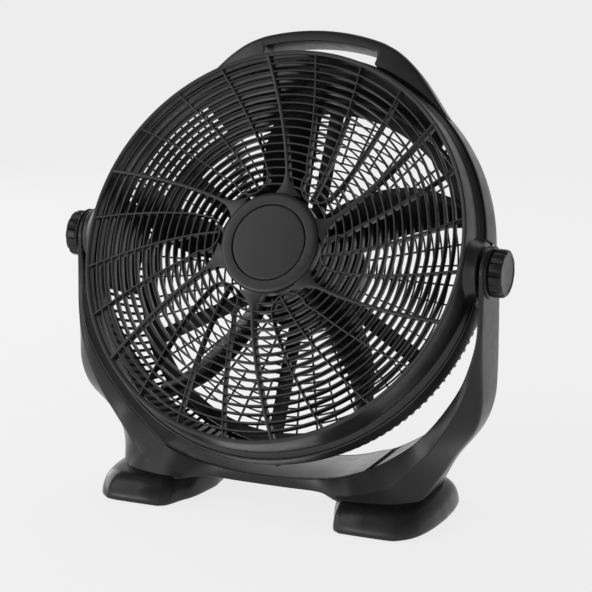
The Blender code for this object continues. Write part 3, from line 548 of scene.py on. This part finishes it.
def rings_of(name, count, radius, pitch, thickness, depth, middle, mat, sides):
    """Concentric rings in the head, pitch apart, from an outer radius inwards."""
    place = HEAD_PLACE @ Matrix.Translation((0.0, 0.0, middle))
    return grown(name, RINGS, empty_source(name), place, Count=count, Radius=radius, Pitch=pitch,
                 Thickness=thickness, Depth=depth, Round=0.0005, Sides=sides, Finish=mat)


def strip(name, path, widths, front, back, edge=0.0006):
    """A rib standing on edge: a flat path in the grille's plane with its width at each point."""
    path = [Vector((p[0], p[1], 0.0)) for p in path]
    rings = []
    for i, point in enumerate(path):
        along = (path[min(i + 1, len(path) - 1)] - path[max(i - 1, 0)]).normalized()
        side = Vector((-along.y, along.x, 0.0)) * widths[i] / 2
        top = Vector((0.0, 0.0, front))
        low = Vector((0.0, 0.0, back))
        outline = rounded([point - side + top, point + side + top, point + side * 0.85 + low,
                           point - side * 0.85 + low], [edge, edge, edge * 0.4, edge * 0.4], steps=2)
        rings.append(outline)
    return skin(name, rings)


def polar(radius, degrees):
    """A point in the head's plane, counted from the right-hand side."""
    return (radius * math.cos(math.radians(degrees)), radius * math.sin(math.radians(degrees)))


REAR_FACE = -0.0855
REAR_BACK = -0.0885
# The guard's curve from the drum to the flat ring, as (radius, depth).
GUARD_PATH = [(0.2556, -0.0318), (0.2530, -0.0430), (0.2492, -0.0545), (0.2440, -0.0660), (0.2372, -0.0768),
              (0.2300, -0.0838), (0.2262, -0.0864)]


def guard_side(offset, first=0, last=None):
    """The guard's curve in (radius, depth), moved outwards by an offset."""
    path = smooth_path([(*point, 0.0) for point in GUARD_PATH], 3)[first:last]
    moved = []
    for i, point in enumerate(path):
        along = (path[min(i + 1, len(path) - 1)] - path[max(i - 1, 0)]).normalized()
        moved.append(point + Vector((-along.y, along.x, 0.0)) * offset)
    return moved


bar_rings = []
for inner, outer in zip(guard_side(-0.0014), guard_side(0.0014)):
    bar_rings.append([(inner.x, -0.0015, inner.y), (outer.x, -0.0015, outer.y),
                      (outer.x, 0.0015, outer.y), (inner.x, 0.0015, inner.y)])
bar = skin("guard_bar", bar_rings)
ladder = repeated("guard_bars", bar, 144, 2.5, grille_black)
top_section = guard_side(0.0010) + list(reversed(guard_side(-0.0012)))
top_panel = arc_of("guard_top_panel", top_section, 49.7, 130.3, 60)
side_section = guard_side(0.0010, 0, 15) + list(reversed(guard_side(-0.0012, 0, 15)))
side_panels = []
PANEL_REACH = 13.5
for side, middle_angle in (("right", 0.0), ("left", 180.0)):
    side_panels.append(arc_of("guard_side_panel_" + side, side_section, middle_angle - PANEL_REACH,
                              middle_angle + PANEL_REACH, 24))
collar_profile = rounded([(0.2560, -0.0288), (0.2576, -0.0292), (0.2574, -0.0334), (0.2535, -0.0334),
                          (0.2532, -0.0288)], 0.0005)
collar = turned("guard_band", collar_profile, HEAD_PLACE, steps=180)
ring_profile = rounded([(0.2288, -0.0832), (0.2288, -0.0858), (0.2248, -0.0885), (0.2235, -0.0885),
                        (0.2235, -0.0858), (0.2262, -0.0850)],
                       [0.0006, 0.002, 0.001, 0.0003, 0.0003, 0.001])
guard_ring = turned("guard_ring", ring_profile, HEAD_PLACE, steps=180)
for piece in [ladder, top_panel, collar, guard_ring] + side_panels:
    paint(piece, grille_black)
    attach(piece, "head")
    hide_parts("rear_guard")
flat_ring = turned("rear_flat_ring", rounded([(0.2233, REAR_FACE), (0.2233, REAR_BACK), (0.2080, REAR_BACK),
                                              (0.2080, REAR_FACE)], 0.0006), HEAD_PLACE, steps=180)
motor_plate = turned("motor_plate", rounded([(0.0, REAR_FACE + 0.0002), (0.0762, REAR_FACE + 0.0002),
                                             (0.0762, REAR_BACK), (0.0, REAR_BACK)], [0, 0.0008, 0.0008, 0]),
                     HEAD_PLACE, steps=120)
spoke_path = [polar(0.0740, 30.0), polar(0.1400, 30.0), polar(0.2100, 30.0)]
spoke = strip("spoke", spoke_path, [0.0203] * 3, REAR_FACE + 0.0010, REAR_BACK, 0.0012)
spokes = repeated("rear_spokes", spoke, 6, 60.0, grille_black)
rear_rings = rings_of("rear_rings", 12, 0.1978, 0.01053, 0.0020, 0.0028, -0.0870, grille_black, sides=144)
rib_path = [polar(0.0740, 0.0), polar(0.1400, 0.0), polar(0.2100, 0.0)]
rear_rib = strip("rear_rib", rib_path, [0.0022] * 3, REAR_FACE + 0.0006, REAR_BACK)
rear_ribs = repeated("rear_ribs", rear_rib, 24, 15.0, grille_black)
short_path = [polar(0.1440, 7.5), polar(0.2100, 7.5)]
short_rib = strip("short_rib", short_path, [0.0020] * 2, REAR_FACE + 0.0004, REAR_BACK)
short_ribs = repeated("rear_short_ribs", short_rib, 24, 15.0, grille_black)
for piece in (flat_ring, motor_plate, spokes, rear_rings, rear_ribs, short_ribs):
    paint(piece, grille_black)
    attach(piece, "head")
    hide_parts("rear_grille")

# ---- motor ---------------------------------------------------------------------------------------
# A pressed steel housing in satin black paint, screwed to the motor plate by its flange. Windings, core
# and bearings sit inside it, and the bright shaft runs forward to the blades.


def metal(name, colour, rough, scale=320.0):
    """Plated or painted metal with a drawn grain and small stains."""
    mat, tree, shader = shader_of(name)
    nodes, links = tree.nodes, tree.links
    where = nodes.new("ShaderNodeTexCoord")
    grain = nodes.new("ShaderNodeTexNoise")
    grain.inputs["Scale"].default_value = scale
    grain.inputs["Detail"].default_value = 6.0
    links.new(where.outputs["Object"], grain.inputs["Vector"])
    tone = nodes.new("ShaderNodeValToRGB")
    tone.color_ramp.elements[0].color = (*[c * 0.80 for c in colour], 1.0)
    tone.color_ramp.elements[1].color = (*[min(1.0, c * 1.12) for c in colour], 1.0)
    links.new(grain.outputs["Fac"], tone.inputs["Fac"])
    links.new(tone.outputs["Color"], shader.inputs["Base Color"])
    gloss = nodes.new("ShaderNodeMapRange")
    gloss.inputs["To Min"].default_value = rough - 0.08
    gloss.inputs["To Max"].default_value = rough + 0.10
    links.new(grain.outputs["Fac"], gloss.inputs["Value"])
    links.new(gloss.outputs["Result"], shader.inputs["Roughness"])
    relief = nodes.new("ShaderNodeBump")
    relief.inputs["Strength"].default_value = 0.10
    relief.inputs["Distance"].default_value = 0.0002
    links.new(grain.outputs["Fac"], relief.inputs["Height"])
    links.new(relief.outputs["Normal"], shader.inputs["Normal"])
    shader.inputs["Metallic"].default_value = 1.0
    return mat


zinc = metal("zinc_plate", (0.60, 0.60, 0.62), 0.30)
copper = metal("varnished_copper", (0.42, 0.19, 0.08), 0.42, scale=700.0)
motor_paint = moulded("motor_paint", (0.020, 0.020, 0.021), 0.42, grain=600.0, bump=0.20, highlight_strength=0.20)
switch_black = moulded("switch_black", (0.022, 0.022, 0.024), 0.50, grain=1200.0, bump=0.12, highlight_strength=0.15)
shell_profile = rounded([(0.0105, -0.0455), (0.0480, -0.0455), (0.0560, -0.0510), (0.0572, -0.0812),
                         (0.0720, -0.0812), (0.0720, -0.0852), (0.0545, -0.0852), (0.0535, -0.0530),
                         (0.0470, -0.0480), (0.0105, -0.0480)],
                        [0.0005, 0.004, 0.004, 0.002, 0.0008, 0.0008, 0.001, 0.003, 0.003, 0.0005])
housing = turned("motor_housing", shell_profile, HEAD_PLACE, steps=96)
paint(housing, motor_paint)
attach(housing, "head")
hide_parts("motor_shell")
carried = {"bearing_front": zinc, "bearing_rear": zinc, "rotor_core": zinc, "motor_shaft": zinc,
           "stator": copper, "motor_end_bell": motor_paint, "speed_switch": switch_black,
           "capacitor": switch_black, "tray_screw": zinc, "tilt_bolt_right": zinc, "tilt_bolt_left": zinc}
for number in range(1, 5):
    carried["motor_screw_%d" % number] = zinc
for side in ("right", "left"):
    for number in (1, 2):
        carried["foot_screw_%s_%d" % (side, number)] = zinc
    carried["friction_washer_" + side] = black_rubber
for node, mat in carried.items():
    paint(frame["nodes"][node], mat)

# ---- fan blade -----------------------------------------------------------------------------------
# Five broad pitched blades and a cup-shaped hub, one glossy black moulding pushed on to the motor shaft
# and held by a lock nut. Each blade is thin at its edges and gently cambered.
gloss_black = moulded("gloss_black", (0.0095, 0.0095, 0.0099), 0.26, grain=900.0, bump=0.01, highlight_strength=0.12,
                      specular=0.26)
BLADE_TURN = 98.5
BLADE_MIDDLE = -0.0222
BLADE_CAMBER = 0.0045
# Each row: radius, angles of the rear and the front edge in degrees, and depth along the axis.
BLADE_ROWS = [(0.0400, -22.0, 26.0, 0.0340), (0.0600, -14.0, 23.5, 0.0375), (0.0850, -10.0, 20.5, 0.0400),
              (0.1100, -8.9, 17.2, 0.0410), (0.1350, -8.3, 13.4, 0.0400), (0.1600, -8.2, 9.4, 0.0365),
              (0.1800, -8.4, 6.1, 0.0330), (0.2000, -9.6, 2.0, 0.0275), (0.2150, -10.6, -1.4, 0.0225),
              (0.2255, -11.2, -3.4, 0.0190), (0.2282, -11.0, -4.4, 0.0175), (0.2290, -10.2, -5.8, 0.0110)]
edge_tracks = smooth_path([row[:3] for row in BLADE_ROWS], 3)
depth_track = smooth_path([(row[3], 0.0, 0.0) for row in BLADE_ROWS], 3)
blade_rings = []
for edge, depth in zip(edge_tracks, depth_track):
    ring = []
    for face in (1, -1):
        for number in range(13):
            s = face * (1.0 - number / 6.0)
            thick = 0.0003 + 0.0011 * math.sqrt(max(0.0, 1.0 - s * s))
            angle = BLADE_TURN + (edge.y + edge.z) / 2 + s * (edge.z - edge.y) / 2
            z = BLADE_MIDDLE + s * depth.x / 2 + BLADE_CAMBER * (1.0 - s * s) + face * thick
            ring.append((*polar(edge.x, angle), z))
    blade_rings.append(ring)
blades = repeated("blade_set", skin("blade", blade_rings), 5, 72.0, gloss_black)
hub_profile = rounded([(0.0044, -0.0030), (0.0200, -0.0030), (0.0400, -0.0040), (0.0460, -0.0090),
                       (0.0460, -0.0410), (0.0435, -0.0410), (0.0435, -0.0100), (0.0130, -0.0070),
                       (0.0130, -0.0400), (0.0044, -0.0400)],
                      [0.0004, 0.002, 0.005, 0.003, 0.0008, 0.0008, 0.002, 0.001, 0.0005, 0.0004])
blade_hub = turned("blade_hub", hub_profile, HEAD_PLACE, steps=96)
nut_rings = []
for radius, depth in ((0.0100, -0.0027), (0.0118, -0.0020), (0.0118, 0.0045), (0.0100, 0.0066),
                      (0.0092, 0.0075)):
    ring = []
    for number in range(60):
        lobe = 0.0007 * (0.5 + 0.5 * math.cos(math.radians(6.0 * number * 10)))
        ring.append((*polar(radius - lobe, 6.0 * number), depth))
    nut_rings.append(ring)
lock_nut = skin("blade_lock_nut", nut_rings, HEAD_PLACE)
for piece in (blades, blade_hub, lock_nut):
    paint(piece, gloss_black)
    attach(piece, "rotor")
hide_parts("fan_blade")
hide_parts("fan_blade")
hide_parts("lock_nut")

# ---- front grille --------------------------------------------------------------------------------
# One satin black moulding snapped into the drum: sixteen deep ring fins, six strong curved ribs that
# flare into the hub ring, and between them finer ribs, the outer two closing in an arch near the hub.
front_black = moulded("front_satin", (0.0085, 0.0085, 0.0089), 0.32, grain=1500.0, bump=0.09, highlight_strength=0.30)
OPENING = 0.2415
FIN_FRONT = 0.0420
FIN_BACK = 0.0302
fins = rings_of("ring_fins", 16, 0.2314, 0.01042, 0.0021, FIN_FRONT - FIN_BACK, (FIN_FRONT + FIN_BACK) / 2,
                front_black, sides=200)


def lean(at_rim, radius):
    """The angle of a rib at a radius; every rib follows one spiral, 15.2 degrees for each e-fold."""
    return at_rim + 15.2 * math.log(radius / OPENING)


def radii(outer, inner, count):
    """Evenly spaced radii from the outer one to the inner one."""
    return [outer + (inner - outer) * i / count for i in range(count + 1)]


MAIN_START = 42.2
MIDDLE_START = MAIN_START + 30.0
RIB_WIDTH = 0.0021
ARCH_RADIUS = 0.0222
ARCH_CENTRE = 0.0907
ARCH_LEG_END = 0.1120
main_radii = radii(OPENING + 0.0012, 0.0600, 36)
main_widths = [0.0044 + 0.036 * max(0.0, (0.094 - r) / 0.034) ** 2.4 for r in main_radii]
main_path = [polar(r, lean(MAIN_START, r)) for r in main_radii]
main_rib = strip("main_rib", main_path, main_widths, FIN_FRONT + 0.0005, FIN_BACK, 0.0010)
main_ribs = repeated("main_ribs", main_rib, 6, 60.0, front_black)
arch_centre = Vector(polar(ARCH_CENTRE, lean(MIDDLE_START, ARCH_CENTRE)))
arch_out = arch_centre.normalized()
arch_side = Vector((-arch_out.y, arch_out.x))
leg_radii = radii(OPENING + 0.0008, ARCH_LEG_END, 22)
first_leg = [polar(r, lean(MIDDLE_START - 15.0, r)) for r in leg_radii]
second_leg = [polar(r, lean(MIDDLE_START + 15.0, r)) for r in leg_radii]
bend = []
for degrees in range(0, 181, 12):
    turn = math.radians(degrees)
    across_arch = arch_side * ARCH_RADIUS * math.cos(turn)
    bend.append(tuple(arch_centre - across_arch - arch_out * ARCH_RADIUS * math.sin(turn)))
arch_path = first_leg + bend + list(reversed(second_leg))
arch_rib = strip("arch_rib", arch_path, [RIB_WIDTH] * len(arch_path), FIN_FRONT + 0.0003, FIN_BACK)
arch_ribs = repeated("arch_ribs", arch_rib, 6, 60.0, front_black)
middle_path = [polar(r, lean(MIDDLE_START, r)) for r in radii(OPENING + 0.0008, 0.0690, 24)]
middle_rib = strip("middle_rib", middle_path, [RIB_WIDTH] * len(middle_path), FIN_FRONT + 0.0003, FIN_BACK)
middle_ribs = repeated("middle_ribs", middle_rib, 6, 60.0, front_black)
rim_profile = rounded([(0.2420, 0.0420), (0.2462, 0.0425), (0.2470, 0.0416), (0.2504, 0.0178),
                       (0.2478, 0.0178), (0.2440, 0.0270), (0.2415, 0.0290), (0.2412, 0.0405)],
                      [0.0006, 0.0012, 0.002, 0.0006, 0.0004, 0.003, 0.001, 0.001])
rim = turned("grille_rim", rim_profile, HEAD_PLACE, steps=240)
hub_ring_profile = rounded([(0.0484, 0.0459), (0.0600, 0.0459), (0.0632, 0.0440), (0.0634, FIN_BACK),
                            (0.0600, FIN_BACK), (0.0590, 0.0405), (0.0, 0.0405), (0.0, 0.0428),
                            (0.0476, 0.0428), (0.0478, 0.0454)],
                           [0.0006, 0.0030, 0.0030, 0.0006, 0.0006, 0.002, 0, 0, 0.0004, 0.0004])
hub_ring = turned("hub_ring", hub_ring_profile, HEAD_PLACE, steps=160)
for piece in (fins, main_ribs, arch_ribs, middle_ribs, rim, hub_ring):
    paint(piece, front_black)
    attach(piece, "head")
    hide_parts("grille_rim" if piece is rim else "front_grille")

# ---- hub cap -------------------------------------------------------------------------------------
# A shallow satin disc pressed into the hub ring, with a narrow dark gap all round.
cap_rows = [(0.0, 0.0464)] + [(0.0455 * i / 8, 0.0464 - 0.0006 * (i / 8) ** 2) for i in range(1, 9)]
cap_profile = rounded(cap_rows + [(0.0466, 0.0454), (0.0466, 0.0430), (0.0, 0.0430)],
                      [0] + [0.001] * 8 + [0.0006, 0.0004, 0])
cap = turned("hub_disc", cap_profile, HEAD_PLACE, steps=160)
paint(cap, front_black)
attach(cap, "head")
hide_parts("hub_cap")

# ---- tilt bosses, plates and knobs ---------------------------------------------------------------
# On each side a round boss grows out of the drum to meet the arm, and a fluted knob on a round plate
# clamps the two together. Bosses are satin like the drum, knobs glossier with a smooth dished face.
BOSS_FACE = 0.2606
BOSS_STEPS = 96
KNOB_RADIUS = 0.0290


def drum_radius(depth):
    """Outer radius of the drum at a depth along the fan axis."""
    if depth > 0.0005:
        return 0.2499 - 0.0007 * depth / 0.0172
    return 0.2499 + min(1.0, -(depth - 0.0005) / 0.0045) * 0.0061


def boss_ring(side, radius, rise):
    """A ring round the tilt axis, rising from the drum's skin (0) to the boss face (1)."""
    ring = []
    for number in range(BOSS_STEPS):
        up, depth = polar(radius, 360.0 * number / BOSS_STEPS)
        wall = math.sqrt(max(0.0, drum_radius(depth) ** 2 - up ** 2)) - 0.0008
        ring.append((side * (wall + (BOSS_FACE - wall) * rise), up, depth))
    return ring


# Each row: radius round the tilt axis, and share of the way from the drum to the boss face.
BOSS_ROWS = [(0.0060, 0.0), (0.0200, 0.0), (0.0395, 0.0), (0.0388, 0.16), (0.0370, 0.36), (0.0356, 0.55),
             (0.0350, 0.75), (0.0348, 0.90), (0.0344, 0.96), (0.0336, 0.99), (0.0326, 1.0), (0.0060, 1.0)]
for side, label in ((1, "right"), (-1, "left")):
    boss_rings = [boss_ring(side, radius, rise) for radius, rise in BOSS_ROWS]
    boss = skin("drum_boss_" + label, boss_rings, HEAD_PLACE)
    paint(boss, satin_black)
    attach(boss, "head")
    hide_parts("tilt_boss_" + label)
    axis_place = Matrix.Translation(pivot) @ Matrix.Rotation(side * math.pi / 2, 4, "Y")
    plate_profile = rounded([(0.0046, 0.2726), (0.0300, 0.2728), (0.0318, 0.2716), (0.0320, 0.2705),
                             (0.0046, 0.2705)], [0.0002, 0.001, 0.0008, 0.0003, 0.0002])
    plate = turned("clamp_plate_" + label, plate_profile, axis_place, steps=96)
    paint(plate, gloss_black)
    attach(plate, "base")
    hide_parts("knob_plate_" + label)
    knob_rings = []
    for depth, scale, lobe in ((0.2731, 0.920, 0.0006), (0.2735, 0.955, 0.0014), (0.2744, 0.985, 0.0022),
                               (0.2760, 1.0, 0.0026), (0.2850, 0.995, 0.0026), (0.2870, 0.980, 0.0022),
                               (0.2884, 0.945, 0.0012), (0.2893, 0.890, 0.0004), (0.2896, 0.840, 0.0),
                               (0.2895, 0.800, 0.0), (0.2888, 0.775, 0.0), (0.2886, 0.700, 0.0),
                               (0.2887, 0.02, 0.0)):
        ring = []
        for number in range(144):
            angle = 2.5 * number
            flute = max(0.0, math.cos(math.radians(11 * angle))) ** 1.6
            ring.append((*polar(KNOB_RADIUS * scale - 1.5 * lobe * flute, angle), depth))
        knob_rings.append(ring)
    knob = skin("clamp_knob_" + label, knob_rings, axis_place)
    paint(knob, gloss_black)
    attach(knob, "knob_" + label)
    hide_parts("tilt_knob_" + label)

# ---- rear cover, speed knob and cord gland -------------------------------------------------------
# A round satin cover over the switch and capacitor, behind the motor plate. The speed knob turns on its
# middle, and the empty cord gland sits in its lower wall.
cover_profile = rounded([(0.0700, -0.0888), (0.0700, -0.1170), (0.0650, -0.1250), (0.0046, -0.1250),
                         (0.0046, -0.1225), (0.0640, -0.1225), (0.0675, -0.1165), (0.0675, -0.0888)],
                        [0.0004, 0.006, 0.006, 0.0004, 0.0004, 0.004, 0.004, 0.0004], steps=5)
cover = turned("switch_cover", cover_profile, HEAD_PLACE, steps=120)
dial_rows = []
for radius, depth, lobe in ((0.0042, -0.1205, 0.0), (0.0042, -0.1254, 0.0), (0.0182, -0.1254, 0.0),
                            (0.0190, -0.1262, 0.0), (0.0190, -0.1292, 0.0), (0.0182, -0.1304, 0.0003),
                            (0.0170, -0.1312, 0.0008), (0.0166, -0.1390, 0.0010), (0.0158, -0.1405, 0.0006),
                            (0.0145, -0.1412, 0.0), (0.0010, -0.1413, 0.0)):
    ring = []
    for number in range(120):
        angle = 3.0 * number
        flute = 0.5 + 0.5 * math.cos(math.radians(20 * angle))
        ring.append((*polar(radius - lobe * flute, angle), depth))
    dial_rows.append(ring)
dial = skin("speed_dial_knob", dial_rows, HEAD_PLACE)
pointer = skin("dial_pointer", [
    rounded([(-w, -0.0055, z), (w, -0.0055, z), (w * 0.7, 0.0175, z), (-w * 0.7, 0.0175, z)], 0.0008)
    for w, z in ((0.0026, -0.1400), (0.0026, -0.1436), (0.0022, -0.1445))], HEAD_PLACE)
gland_place = HEAD_PLACE @ Matrix.Translation((0.0, 0.0, -0.1060)) @ Matrix.Rotation(math.pi / 2, 4, "X")
gland_profile = rounded([(0.0062, 0.0640), (0.0062, 0.0705), (0.0090, 0.0705), (0.0090, 0.0730),
                         (0.0080, 0.0735), (0.0070, 0.0830), (0.0036, 0.0830), (0.0036, 0.0640)], 0.0005)
gland = turned("cord_gland_sleeve", gland_profile, gland_place, steps=48)
for piece, mat, body, slot, node in ((cover, satin_black, "head", "satin_plastic", "motor_cover"),
                                     (dial, gloss_black, "speed_dial", "gloss_plastic", "speed_knob"),
                                     (pointer, gloss_black, "speed_dial", "gloss_plastic", "speed_knob"),
                                     (gland, black_rubber, "head", "rubber", "cord_gland")):
    paint(piece, mat)
    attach(piece, body)
    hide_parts(node)

# ---- floor, light and camera ---------------------------------------------------------------------
# A plain pale studio sweep in an even pale surround, brighter on the left, with broad soft boxes on the
# left, above the back and low in front.
bpy.ops.mesh.primitive_plane_add(size=30.0, location=(0.0, 0.0, -0.0002))
floor = bpy.context.object
floor.name = "studio_floor"
floor_mat, _, floor_shader = shader_of("pale_floor")
floor_shader.inputs["Base Color"].default_value = (0.16, 0.16, 0.16, 1.0)
floor_shader.inputs["Roughness"].default_value = 0.9
floor_shader.inputs["Specular IOR Level"].default_value = 0.0
floor_shader.inputs["Emission Color"].default_value = (1.0, 1.0, 1.0, 1.0)
floor_shader.inputs["Emission Strength"].default_value = 0.79
floor.data.materials.append(floor_mat)

world = bpy.data.worlds.new("studio")
bpy.context.scene.world = world
world.use_nodes = True
sky_nodes, sky_links = world.node_tree.nodes, world.node_tree.links
sky_nodes["Background"].inputs["Color"].default_value = (1.0, 1.0, 1.0, 1.0)
direction = sky_nodes.new("ShaderNodeTexCoord")
split = sky_nodes.new("ShaderNodeSeparateXYZ")
height = sky_nodes.new("ShaderNodeMapRange")
height.inputs["From Min"].default_value = 0.10
height.inputs["From Max"].default_value = 0.60
height.inputs["To Min"].default_value = 1.0
height.inputs["To Max"].default_value = 0.22
facing = sky_nodes.new("ShaderNodeVectorMath")
facing.operation = "DOT_PRODUCT"
facing.inputs[1].default_value = (-0.85, -0.53, 0.0)
side_light = sky_nodes.new("ShaderNodeMapRange")
side_light.inputs["From Min"].default_value = -1.0
side_light.inputs["To Min"].default_value = 0.45
side_light.inputs["To Max"].default_value = 1.60
total = sky_nodes.new("ShaderNodeMath")
total.operation = "MULTIPLY"
sky_links.new(direction.outputs["Generated"], split.inputs["Vector"])
sky_links.new(split.outputs["Z"], height.inputs["Value"])
sky_links.new(direction.outputs["Generated"], facing.inputs[0])
sky_links.new(facing.outputs["Value"], side_light.inputs["Value"])
sky_links.new(height.outputs["Result"], total.inputs[0])
sky_links.new(side_light.outputs["Result"], total.inputs[1])
sky_links.new(total.outputs["Value"], sky_nodes["Background"].inputs["Strength"])
bpy.context.scene.view_settings.view_transform = "Standard"


def softbox(name, spot, aim, size, power):
    """A rectangular studio light at a spot, turned to face its aim."""
    light = bpy.data.lights.new(name, "AREA")
    light.shape = "RECTANGLE"
    light.size, light.size_y = size
    light.energy = power
    lamp = bpy.data.objects.new(name, light)
    bpy.context.scene.collection.objects.link(lamp)
    lamp.location = spot
    lamp.rotation_euler = (Vector(aim) - Vector(spot)).to_track_quat("-Z", "Y").to_euler()


softbox("key_left", (-1.8, -1.6, 1.9), (0.0, 0.0, 0.28), (1.4, 1.4), 9.0)
softbox("wall_left", (-2.0, 0.7, 0.5), (0.0, 0.0, 0.25), (1.6, 1.4), 13.0)
softbox("top_back", (0.2, 1.4, 2.0), (0.0, 0.0, 0.35), (2.0, 1.0), 6.0)
softbox("low_front", (-1.1, -2.0, 0.35), (0.0, 0.0, 0.05), (1.2, 0.5), 7.0)

camera = bpy.data.objects.new("camera", bpy.data.cameras.new("camera"))
bpy.context.scene.collection.objects.link(camera)
camera.location = (1.0582, pivot.y - 2.3359, 0.8797)
target = Vector((0.0182, pivot.y, 0.2588))
camera.rotation_euler = (target - camera.location).to_track_quat("-Z", "Y").to_euler()
camera.data.sensor_width = 36.0
camera.data.lens = 130.6
bpy.context.scene.camera = camera
